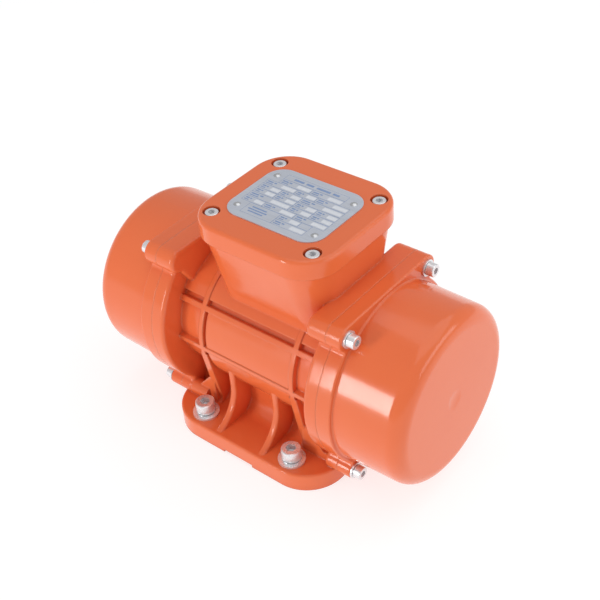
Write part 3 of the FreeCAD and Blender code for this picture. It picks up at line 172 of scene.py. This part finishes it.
def relief_from(tree, shader, height, strength, depth, over=None, engraved=False):
    """Gives the surface a fine relief, raised or engraved, laid over another normal if one is given."""
    inputs = {"Strength": strength, "Distance": depth, "Height": height}
    if over is not None:
        inputs["Normal"] = over
    skin = put(tree, "Bump", inputs, invert=engraved)
    tree.links.new(skin.outputs["Normal"], shader.inputs["Normal"])


def dress(made, *names):
    """Puts a material on pieces of the CAD model."""
    for name in names:
        part[name].material_slots[0].material = made


def enamel(name, corner, ripple):
    """Sprayed orange enamel: corner is the radius of its edges, ripple the strength of its relief."""
    made, tree, shader, place = finish(name)
    coat = blended(tree, noise(tree, place, 22.0, 3.0), (0.80, 0.150, 0.046), (0.84, 0.175, 0.056))
    # Painted shade: near other surfaces (within 12 mm) the colour darkens to a deep red, partly pooled
    # enamel, partly painted shade.
    hollow = put(tree, "AmbientOcclusion", {"Distance": 0.012}, samples=4).outputs["AO"]
    pooled_and_shade = blended(tree, spread(tree, hollow, 0.15, 0.75, 0.55, 0.0), coat, (0.62, 0.070, 0.020))
    edge = put(tree, "AmbientOcclusion", {"Distance": 0.0011}, samples=4, inside=True).outputs["AO"]
    thin = spread(tree, edge, 0.45, 0.80, 0.34, 0.0)
    rubbed = put(tree, "Math", {0: thin, 1: noise(tree, place, 260.0, 4.0)}, operation="MULTIPLY")
    colour_from(tree, shader, blended(tree, rubbed.outputs[0], pooled_and_shade, (0.90, 0.42, 0.26)))
    polish_from(tree, shader, noise(tree, place, 75.0, 3.0), 0.13, 0.20)
    shader.inputs["Specular IOR Level"].default_value = 0.42
    shader.inputs["Coat Weight"].default_value = 0.12
    shader.inputs["Coat Roughness"].default_value = 0.06
    rounded = put(tree, "Bevel", {"Radius": corner}, samples=6).outputs["Normal"]
    relief_from(tree, shader, noise(tree, place, 230.0, 0.0), ripple, 0.0003, over=rounded)
    return made


dress(enamel("casting_enamel", 0.0016, 0.11), "housing")

# ---------------------------------------------------------------------------------------------
# Stator core. Punched sheets of silicon steel, stacked and pressed into the barrel, so the
# outside shows the fine lines of the sheets.
# ---------------------------------------------------------------------------------------------
SHEET_THICKNESS = 0.0005

stacked_sheets, tree, shader, place = finish("stacked_sheets", metallic=0.9)
along = put(tree, "SeparateXYZ", {0: place}).outputs["X"]
wave = put(tree, "Math", {0: along, 1: 2 * math.pi / SHEET_THICKNESS}, operation="MULTIPLY").outputs[0]
gap = put(tree, "Math", {0: wave}, operation="SINE").outputs[0]
cloud = noise(tree, place, 90.0, 3.0)
base = blended(tree, cloud, (0.30, 0.30, 0.31), (0.21, 0.21, 0.23))
colour_from(tree, shader, blended(tree, spread(tree, gap, 0.6, 1.0, 0.0, 0.7), base, (0.07, 0.07, 0.08)))
polish_from(tree, shader, cloud, 0.38, 0.52)
relief_from(tree, shader, gap, 0.3, 0.0001)
dress(stacked_sheets, "stator_core")

# ---------------------------------------------------------------------------------------------
# Stator winding. Enamelled copper wire laid in the slots and bound at each end, then dipped in
# amber varnish.
# ---------------------------------------------------------------------------------------------
varnished_copper, tree, shader, place = finish("varnished_copper", metallic=0.85)
drawn_out = put(tree, "VectorMath", {0: place, 1: (0.35, 1.0, 1.0)}, operation="MULTIPLY").outputs[0]
strands = put(tree, "TexWave", {"Vector": drawn_out, "Scale": 260.0, "Distortion": 3.0, "Detail": 2.0})
wire = strands.outputs["Fac"]
copper = blended(tree, wire, (0.36, 0.11, 0.035), (0.72, 0.27, 0.09))
pools = spread(tree, noise(tree, place, 130.0, 3.0), 0.45, 0.75, 0.0, 0.6)
colour_from(tree, shader, blended(tree, pools, copper, (0.30, 0.10, 0.02)))
polish_from(tree, shader, wire, 0.24, 0.40, low=0.0, high=1.0)
shader.inputs["Coat Weight"].default_value = 0.6
relief_from(tree, shader, wire, 0.7, 0.0003)
dress(varnished_copper, "stator_winding")

# ---------------------------------------------------------------------------------------------
# Rotor. A stack of the same sheets on the shaft, with bars and end rings of aluminium cast
# through it, grey and slightly porous as it comes from the die.
# ---------------------------------------------------------------------------------------------


def metal(name, colour, tint, roughness, relief, scale, metallic=1.0, grime_and_shade_share=0.75):
    """A metal of two near tones, with a varied polish, a fine relief and its hollows painted dark as
    grime and shade.
    """
    made, tree, shader, place = finish(name, metallic)
    cloud = noise(tree, place, scale, 4.0)
    # Painted shade: hollows within 2 mm are darkened towards near black, partly grime, partly painted
    # shade.
    hollow = put(tree, "AmbientOcclusion", {"Distance": 0.002}, samples=4).outputs["AO"]
    grime_and_shade = spread(tree, hollow, 0.15, 0.7, grime_and_shade_share, 0.0)
    clean = blended(tree, cloud, colour, tint)
    colour_from(tree, shader, blended(tree, grime_and_shade, clean, (0.045, 0.04, 0.035)))
    polish_from(tree, shader, cloud, roughness - 0.06, roughness + 0.08)
    relief_from(tree, shader, noise(tree, place, 3 * scale, 3.0), relief, 0.0002)
    return made


dress(stacked_sheets, "rotor_core")
dress(metal("die_aluminium", (0.62, 0.63, 0.65), (0.50, 0.51, 0.53), 0.42, 0.5, 220.0), "rotor_cage")

# ---------------------------------------------------------------------------------------------
# Shaft, keys, spacers, washers and circlips. Carbon steel: the shaft is turned and ground, so
# it carries fine rings round it; the small pieces are turned or stamped.
# ---------------------------------------------------------------------------------------------


def turned_steel(name, ring, relief):
    """Ground or turned steel with fine marks round the shaft; ring is their spacing in metres."""
    made, tree, shader, place = finish(name, metallic=1.0)
    rings = put(tree, "VectorMath", {0: place, 1: (1.0 / ring, 12.0, 12.0)}, operation="MULTIPLY")
    marks = noise(tree, rings.outputs[0], 1.0, 2.0)
    steel = blended(tree, noise(tree, place, 60.0, 3.0), (0.56, 0.56, 0.57), (0.45, 0.45, 0.46))
    dark = spread(tree, marks, 0.35, 0.65, 0.25, 0.0)
    colour_from(tree, shader, blended(tree, dark, steel, (0.24, 0.24, 0.25)))
    polish_from(tree, shader, marks, 0.16, 0.30)
    relief_from(tree, shader, marks, relief, 0.00005)
    return made


ground_steel = turned_steel("ground_shaft_steel", 0.0002, 0.25)
stamped_steel = metal("stamped_steel", (0.30, 0.30, 0.31), (0.22, 0.22, 0.23), 0.34, 0.3, 300.0)
dress(ground_steel, "shaft", "shaft_spacers", "shaft_washers")
dress(stamped_steel, "weight_keys", "shaft_circlips")

# ---------------------------------------------------------------------------------------------
# Ball bearings. Through-hardened chrome steel rings and balls, ground and lapped bright, and a
# pressed steel cage, with a film of grease.
# ---------------------------------------------------------------------------------------------
lapped_steel = turned_steel("lapped_steel", 0.0001, 0.12)
cage_steel = metal("cage_steel", (0.58, 0.57, 0.55), (0.46, 0.45, 0.43), 0.28, 0.2, 260.0)
ball_steel = metal("ball_steel", (0.70, 0.70, 0.71), (0.64, 0.64, 0.65), 0.10, 0.05, 180.0)
for side in ("left", "right"):
    dress(lapped_steel, "bearing_outer_" + side, "bearing_inner_" + side)
    dress(ball_steel, "bearing_balls_" + side)
    dress(cage_steel, "bearing_cage_" + side)
dress(stamped_steel, "bearing_retainers")

# ---------------------------------------------------------------------------------------------
# Bearing shields. Grey iron, cast and then turned at the spigot, the hub and the face, left
# unpainted under the covers with a thin film of oil.
# ---------------------------------------------------------------------------------------------
shield_iron = metal("turned_grey_iron", (0.27, 0.265, 0.26), (0.19, 0.185, 0.18), 0.45, 0.6, 240.0,
                    metallic=0.85)
dress(shield_iron, "bearing_shield_left", "bearing_shield_right")

# ---------------------------------------------------------------------------------------------
# Eccentric weights. Fans flame-cut from steel plate, machined on their faces and blacked, each
# split at the hub and drawn together by a bolt.
# ---------------------------------------------------------------------------------------------
blacked_steel = metal("blacked_steel", (0.075, 0.074, 0.075), (0.040, 0.040, 0.042),
                      0.36, 0.45, 200.0, metallic=0.8)
for side in ("left", "right"):
    dress(blacked_steel, "fixed_weight_" + side, "adjustable_weight_" + side)
clamp_bolt_steel = metal("clamp_bolt_steel", (0.11, 0.11, 0.115), (0.06, 0.06, 0.065), 0.30, 0.2, 400.0)
dress(clamp_bolt_steel, "fixed_clamp_bolts", "adjustable_clamp_bolt_left", "adjustable_clamp_bolt_right")

# ---------------------------------------------------------------------------------------------
# Setting discs. Zinc-plated steel between the two weights, with a ring of engraved strokes by
# which the outer weight is set against the inner one.
# ---------------------------------------------------------------------------------------------
STROKES = 36
STROKE_SHARE = 0.10             # of the step from one stroke to the next
STROKE_START = 0.0275           # from the shaft's line
shaft_low, shaft_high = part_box("shaft")
shaft_line = (shaft_low.z + shaft_high.z) / 2

scale_plate, tree, shader, place = finish("engraved_scale", metallic=1.0)
axes = put(tree, "SeparateXYZ", {0: place}).outputs
height = put(tree, "Math", {0: axes["Z"], 1: shaft_line}, operation="SUBTRACT").outputs[0]
turn = put(tree, "Math", {0: height, 1: axes["Y"]}, operation="ARCTAN2").outputs[0]
steps = put(tree, "Math", {0: turn, 1: STROKES / (2 * math.pi)}, operation="MULTIPLY").outputs[0]
within = put(tree, "Math", {0: steps}, operation="FRACT").outputs[0]
narrow = put(tree, "Math", {0: within, 1: STROKE_SHARE}, operation="LESS_THAN").outputs[0]
out = put(tree, "CombineXYZ", {"Y": axes["Y"], "Z": height}).outputs[0]
radius = put(tree, "VectorMath", {0: out}, operation="LENGTH").outputs["Value"]
rim = put(tree, "Math", {0: radius, 1: STROKE_START}, operation="GREATER_THAN").outputs[0]
stroke = put(tree, "Math", {0: narrow, 1: rim}, operation="MULTIPLY").outputs[0]
cloud = noise(tree, place, 300.0, 3.0)
plating = blended(tree, cloud, (0.66, 0.67, 0.68), (0.54, 0.55, 0.56))
colour_from(tree, shader, blended(tree, stroke, plating, (0.04, 0.04, 0.04)))
polish_from(tree, shader, cloud, 0.26, 0.38)
relief_from(tree, shader, stroke, 0.6, 0.0002, engraved=True)
dress(scale_plate, "scale_discs")

# ---------------------------------------------------------------------------------------------
# Terminal block. Black phenolic, moulded with a matt skin, held by two screws in the floor of
# the box, with six brass studs and their nuts.
# ---------------------------------------------------------------------------------------------
phenolic, tree, shader, place = finish("moulded_phenolic")
cloud = noise(tree, place, 180.0, 4.0)
colour_from(tree, shader, blended(tree, cloud, (0.030, 0.028, 0.027), (0.055, 0.050, 0.046)))
polish_from(tree, shader, cloud, 0.38, 0.55)
relief_from(tree, shader, noise(tree, place, 900.0, 2.0), 0.25, 0.0002)
dress(phenolic, "terminal_block")
terminal_brass = metal("terminal_brass", (0.78, 0.57, 0.25), (0.64, 0.43, 0.17), 0.28, 0.2, 350.0)
dress(terminal_brass, "terminal_studs", "terminal_nuts")

# ---------------------------------------------------------------------------------------------
# Cable gland. Turned and milled from brass and nickel plated, with a locknut inside the box and
# a rubber ring that the dome nut squeezes on to the cable.
# ---------------------------------------------------------------------------------------------
nickel_plate = metal("nickel_plate", (0.70, 0.66, 0.58), (0.58, 0.54, 0.46), 0.20, 0.12, 260.0)
dress(nickel_plate, "gland_body", "gland_nut", "gland_locknut")

black_rubber, tree, shader, place = finish("black_rubber")
bloom = noise(tree, place, 140.0, 5.0)
colour_from(tree, shader, blended(tree, bloom, (0.018, 0.018, 0.018), (0.050, 0.048, 0.046)))
polish_from(tree, shader, bloom, 0.55, 0.75)
relief_from(tree, shader, noise(tree, place, 1500.0, 2.0), 0.3, 0.0001)
dress(black_rubber, "gland_seal", "lid_gasket", "cover_seals")

# ---------------------------------------------------------------------------------------------
# End covers and lid. Thinner aluminium pressure castings in the same enamel, smoother than the
# housing. The covers keep water off the weights; the lid closes the terminal box.
# ---------------------------------------------------------------------------------------------
dress(enamel("cover_enamel", 0.0009, 0.09), "end_cover_left", "end_cover_right", "terminal_lid")

# ---------------------------------------------------------------------------------------------
# Screws and washers. Steel, cold headed and bright zinc plated: silver with a slightly milky
# skin, painted darker inside the sockets as grime and shade.
# ---------------------------------------------------------------------------------------------
zinc_plate = metal("zinc_plate", (0.92, 0.92, 0.94), (0.78, 0.78, 0.80), 0.25, 0.10, 200.0,
                   metallic=0.65, grime_and_shade_share=0.35)
dress(zinc_plate, "cover_screws", "cover_washers", "lid_screws", "foot_washers", "shield_screws",
      "terminal_block_screws", "earth_screw")

# ---------------------------------------------------------------------------------------------
# Nameplate. Thin aluminium, brushed along its length and anodised a pale grey blue, held by
# four drive rivets with domed heads.
# ---------------------------------------------------------------------------------------------
brushed_plate, tree, shader, place = finish("brushed_plate", metallic=0.75)
drawn = put(tree, "VectorMath", {0: place, 1: (60.0, 2600.0, 60.0)}, operation="MULTIPLY").outputs[0]
brush = noise(tree, drawn, 1.0, 3.0)
cloud = noise(tree, place, 45.0, 3.0)
tone = blended(tree, cloud, (0.64, 0.68, 0.77), (0.72, 0.75, 0.83))
scratch = spread(tree, brush, 0.3, 0.7, 0.3, 0.0)
colour_from(tree, shader, blended(tree, scratch, tone, (0.40, 0.44, 0.50)))
polish_from(tree, shader, brush, 0.34, 0.48)
relief_from(tree, shader, brush, 0.12, 0.0001)
dress(brushed_plate, "nameplate")
rivet_aluminium = metal("rivet_aluminium", (0.66, 0.67, 0.69), (0.50, 0.51, 0.53), 0.25, 0.15, 300.0)
dress(rivet_aluminium, "nameplate_rivets")

# ---------------------------------------------------------------------------------------------
# Print on the nameplate. Blue ink, screen printed: an empty table, with short dashes where the
# captions would stand and a pale box for each value. There is no writing.
# ---------------------------------------------------------------------------------------------
PRINT_LENGTH = 0.0620
PRINT_WIDTH = 0.0460
PRINT_COLUMNS = 8
PRINT_ROWS = 9
PRINT_RISE = 0.00002
LINE_WIDTH = 0.00017
FIELD_LENGTH = PRINT_LENGTH / PRINT_COLUMNS
FIELD_WIDTH = PRINT_WIDTH / PRINT_ROWS
plate_low, plate_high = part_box("nameplate")
plate_middle = (plate_low + plate_high) / 2
print_height = plate_high.z + PRINT_RISE
print_corner = Vector((plate_middle.x - PRINT_LENGTH / 2, plate_middle.y - PRINT_WIDTH / 2, 0.0))


def pick_fields(mesh, columns, rows):
    """Selects only the faces of the table in those columns and rows, counted from the corner."""
    bpy.ops.mesh.select_all(action="DESELECT")
    bpy.ops.object.mode_set(mode="OBJECT")
    for face in mesh.polygons:
        at = face.center - print_corner
        face.select = int(at.x / FIELD_LENGTH) in columns and int(at.y / FIELD_WIDTH) in rows
    bpy.ops.object.mode_set(mode="EDIT")


bpy.ops.object.select_all(action="DESELECT")
bpy.ops.mesh.primitive_grid_add(x_subdivisions=PRINT_COLUMNS, y_subdivisions=PRINT_ROWS, size=1.0,
                                location=(plate_middle.x, plate_middle.y, print_height))
lines = bpy.context.object
lines.name = "nameplate_lines"
lines.scale = (PRINT_LENGTH, PRINT_WIDTH, 1.0)
bpy.ops.object.transform_apply(location=True, rotation=True, scale=True)
bpy.ops.object.mode_set(mode="EDIT")
bpy.ops.mesh.select_mode(type="FACE")
for rivet_column in (0, PRINT_COLUMNS - 1):
    for rivet_rows in ((0, 1), (PRINT_ROWS - 2, PRINT_ROWS - 1)):
        pick_fields(lines.data, (rivet_column,), rivet_rows)
        bpy.ops.mesh.delete(type="FACE")
# Fields that are joined into one, by their columns and rows.
joined_fields = [((1, 2, 3, 4, 5, 6), (8,)), ((1, 2, 3), (7,)), ((4, 5, 6), (7,)), ((0, 1, 2), (6,)),
                 ((3, 4), (6,)), ((5, 6, 7), (6,)), ((0, 1), (5,)), ((2, 3), (5,)), ((4, 5, 6, 7), (5,)),
                 ((0, 1), (4,)), ((2, 3), (4,)), ((4, 5), (4,)), ((6, 7), (4,)), ((0, 1, 2, 3), (3,)),
                 ((4, 5), (3,)), ((6, 7), (3,)), ((0, 1), (2,)), ((2, 3, 4), (2,)), ((5, 6, 7), (2,)),
                 ((1, 2, 3), (0, 1)), ((4, 5), (1,)), ((4, 5, 6), (0,))]
for columns, rows in joined_fields:
    pick_fields(lines.data, columns, rows)
    bpy.ops.mesh.dissolve_faces()
bpy.ops.mesh.select_all(action="SELECT")
bpy.ops.mesh.inset(thickness=LINE_WIDTH, use_individual=True)
bpy.ops.mesh.delete(type="FACE")
bpy.ops.object.mode_set(mode="OBJECT")


def ink(name, colour, tint, scale):
    """Screen ink, a little patchy."""
    made, tree, shader, place = finish(name)
    patchy = noise(tree, place, scale, 3.0)
    colour_from(tree, shader, blended(tree, patchy, colour, tint))
    polish_from(tree, shader, patchy, 0.35, 0.5)
    return made


blue_ink = ink("print_ink", (0.13, 0.23, 0.46), (0.30, 0.39, 0.60), 900.0)
lines.data.materials.append(blue_ink)
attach(lines, "stator")


def printed_boxes(name, boxes, colour):
    """Flat printed boxes joined into one piece; each box is its middle, length and width."""
    bpy.ops.object.select_all(action="DESELECT")
    made = []
    for x, y, length, width in boxes:
        middle = (x, y, print_height)
        bpy.ops.mesh.primitive_plane_add(size=1.0, location=middle)
        bpy.ops.transform.resize(value=(length, width, 1.0), center_override=middle)
        made.append(bpy.context.object)
    for box in made:
        box.select_set(True)
    bpy.ops.object.join()
    sheet = bpy.context.object
    sheet.name = name
    bpy.ops.object.transform_apply(location=True, rotation=True, scale=True)
    sheet.data.materials.append(colour)
    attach(sheet, "stator")


# Shares are of the length of a field, or of its caption where the dash belongs to one.
DASH_WIDTH = 0.0011
CAPTION_SHARE = 0.30
CAPTION_START = 0.0012
caption_dashes = [  # the dash's middle and length as shares, its rise in the field and its width
    (0.30, 0.60, 0.0007, DASH_WIDTH), (0.85, 0.26, 0.0007, DASH_WIDTH),
    (0.35, 0.70, -0.0011, 0.7 * DASH_WIDTH)]
VALUE_SHARE = 0.42
VALUE_END = 0.97
VALUE_WIDTH = 0.0031
TITLE_COLUMNS = 6
TITLE_DASH_WIDTH = 1.6 * DASH_WIDTH
title_dashes = [(0.22, 0.16), (0.40, 0.12), (0.62, 0.22), (0.82, 0.10)]
NOTE_MIDDLE = 0.40
note_dashes = [(0.0022, 0.468), (0.0, 0.60), (-0.0022, 0.468)]

dashes = []
values = []
for columns, rows in joined_fields:
    left = print_corner.x + columns[0] * FIELD_LENGTH
    length = len(columns) * FIELD_LENGTH
    middle = print_corner.y + (rows[0] + len(rows) / 2) * FIELD_WIDTH
    if len(rows) > 1:
        for rise, reach in note_dashes:
            dashes.append((left + NOTE_MIDDLE * length, middle + rise, reach * length, DASH_WIDTH))
    elif len(columns) == TITLE_COLUMNS:
        for share, reach in title_dashes:
            dashes.append((left + share * length, middle, reach * length, TITLE_DASH_WIDTH))
    else:
        caption = CAPTION_SHARE * length
        start = left + CAPTION_START
        for share, reach, rise, width in caption_dashes:
            dashes.append((start + share * caption, middle + rise, reach * caption, width))
        value_middle = left + (VALUE_END - VALUE_SHARE / 2) * length
        values.append((value_middle, middle, VALUE_SHARE * length, VALUE_WIDTH))
printed_boxes("nameplate_dashes", dashes, blue_ink)
white_ink = ink("value_white", (0.62, 0.65, 0.72), (0.80, 0.82, 0.86), 700.0)
printed_boxes("nameplate_values", values, white_ink)

# ---------------------------------------------------------------------------------------------
# Foot bolts. Four socket head bolts, forged with a knurled head and zinc plated, that hold the
# foot down through its washers. Their shanks end just inside the underside of the foot.
# ---------------------------------------------------------------------------------------------
HEAD_RADIUS = 0.0065
HEAD_HEIGHT = 0.0080
RIM = 0.0008
SOCKET_ACROSS = 0.0060
SOCKET_DEPTH = 0.0045
DRILL_POINT = 0.0006
DRILL_TIP = 0.15                # the tip's share of the socket's width
SHANK_RADIUS = 0.0040
SHANK_FILLET = 0.0004
SHANK_CHAMFER = 0.0007
SHANK_GAP = 0.0004              # from the underside of the foot up to the shank's end
ROUND_STEPS = 96
KNURL_DEPTH = 0.975             # every other point of the head is drawn in to this share
SMOOTH_BELOW = 24               # degrees; the chamfers stay sharp
LIFT = 0.01                     # the rim is bridged to the socket from this high, then let down
NEAR = 0.00001
MM = 0.001

foot_holes = next(mount["dims"] for mount in frame["record"]["mounts"] if mount["name"] == "foot_bolts")
bolt_x = foot_holes["spacing_x_mm"] * MM / 2
bolt_y = foot_holes["spacing_y_mm"] * MM / 2
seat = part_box("foot_washers")[1].z
head_top = seat + HEAD_HEIGHT
shank_end = cad_low.z + SHANK_GAP


def from_axis(at):
    """How far a point is from the bolt's axis."""
    return math.hypot(at.x - bolt_x, at.y - bolt_y)


def pick_points(mesh, wanted):
    """Selects only the points that are wanted."""
    bpy.ops.object.mode_set(mode="OBJECT")
    for item in list(mesh.edges) + list(mesh.polygons):
        item.select = False
    for point in mesh.vertices:
        point.select = wanted(point.co)
    bpy.ops.object.mode_set(mode="EDIT")


def pick_ring(mesh, radius, height):
    """Selects only the ring of points at one radius and one height."""
    pick_points(mesh, lambda at: abs(from_axis(at) - radius) < NEAR and abs(at.z - height) < NEAR)


bpy.ops.object.select_all(action="DESELECT")
bpy.ops.mesh.primitive_circle_add(vertices=6, radius=SOCKET_ACROSS / math.sqrt(3),
                                  location=(bolt_x, bolt_y, head_top))
bolt = bpy.context.object
bolt.name = "foot_bolt"
bpy.ops.object.transform_apply(location=True, rotation=True, scale=True)
bpy.ops.object.mode_set(mode="EDIT")
bpy.ops.mesh.select_mode(type="VERT")
bpy.ops.mesh.select_all(action="SELECT")
bpy.ops.mesh.subdivide(number_cuts=ROUND_STEPS // 6 - 1)
bpy.ops.mesh.extrude_edges_move(TRANSFORM_OT_translate={"value": (0.0, 0.0, -SOCKET_DEPTH)})
bpy.ops.mesh.extrude_edges_move(TRANSFORM_OT_translate={"value": (0.0, 0.0, -DRILL_POINT)})
bpy.ops.transform.resize(value=(DRILL_TIP, DRILL_TIP, 1.0), center_override=(bolt_x, bolt_y, head_top))
bpy.ops.mesh.edge_face_add()
bpy.ops.mesh.select_all(action="DESELECT")
bpy.ops.mesh.primitive_circle_add(vertices=ROUND_STEPS, radius=HEAD_RADIUS - RIM,
                                  location=(bolt_x, bolt_y, head_top + LIFT))
pick_points(bolt.data, lambda at: at.z > head_top - NEAR)
bpy.ops.mesh.bridge_edge_loops()
pick_ring(bolt.data, HEAD_RADIUS - RIM, head_top + LIFT)
bpy.ops.transform.translate(value=(0.0, 0.0, -LIFT))

# Radius and height of each turn, from the rim of the head down to the end of the shank.
turns = [(HEAD_RADIUS - RIM, head_top), (HEAD_RADIUS - RIM / 4, head_top - 0.0003),
         (HEAD_RADIUS, head_top - RIM), (HEAD_RADIUS, seat + 0.0006),
         (HEAD_RADIUS - 0.0003, seat + 0.0002), (HEAD_RADIUS - 0.0007, seat),
         (SHANK_RADIUS + SHANK_FILLET, seat), (SHANK_RADIUS, seat - SHANK_FILLET),
         (SHANK_RADIUS, shank_end + SHANK_CHAMFER), (SHANK_RADIUS - SHANK_CHAMFER, shank_end)]
for (radius, height), (next_radius, next_height) in zip(turns, turns[1:]):
    pick_ring(bolt.data, radius, height)
    bpy.ops.mesh.extrude_edges_move(TRANSFORM_OT_translate={"value": (0.0, 0.0, next_height - height)})
    ratio = next_radius / radius
    bpy.ops.transform.resize(value=(ratio, ratio, 1.0), center_override=(bolt_x, bolt_y, next_height))
bpy.ops.mesh.edge_face_add()


def on_knurl(at):
    """Every other point round the straight side of the head, its widest part."""
    step = round(math.atan2(at.y - bolt_y, at.x - bolt_x) / (2 * math.pi) * ROUND_STEPS)
    return from_axis(at) > HEAD_RADIUS - NEAR and step % 2 == 1


pick_points(bolt.data, on_knurl)
bpy.ops.transform.resize(value=(KNURL_DEPTH, KNURL_DEPTH, 1.0), center_override=(bolt_x, bolt_y, seat))
bpy.ops.mesh.select_all(action="SELECT")
bpy.ops.mesh.normals_make_consistent(inside=False)
bpy.ops.object.mode_set(mode="OBJECT")
bpy.ops.object.shade_smooth_by_angle(angle=math.radians(SMOOTH_BELOW))
bolt.data.materials.append(zinc_plate)

bolts = [bolt]
for left, forward in ((-2 * bolt_x, 0.0), (0.0, -2 * bolt_y), (-2 * bolt_x, -2 * bolt_y)):
    bpy.ops.object.select_all(action="DESELECT")
    bolt.select_set(True)
    bpy.context.view_layer.objects.active = bolt
    bpy.ops.object.duplicate(linked=False)
    bpy.ops.transform.translate(value=(left, forward, 0.0))
    bpy.ops.object.transform_apply(location=True, rotation=True, scale=True)
    bolts.append(bpy.context.object)
for number, each in enumerate(bolts):
    each.name = "foot_bolt_" + str(number + 1)
    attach(each, "stator")

# ---------------------------------------------------------------------------------------------
# Last, the view layer is brought up to date.
# ---------------------------------------------------------------------------------------------
bpy.context.view_layer.update()
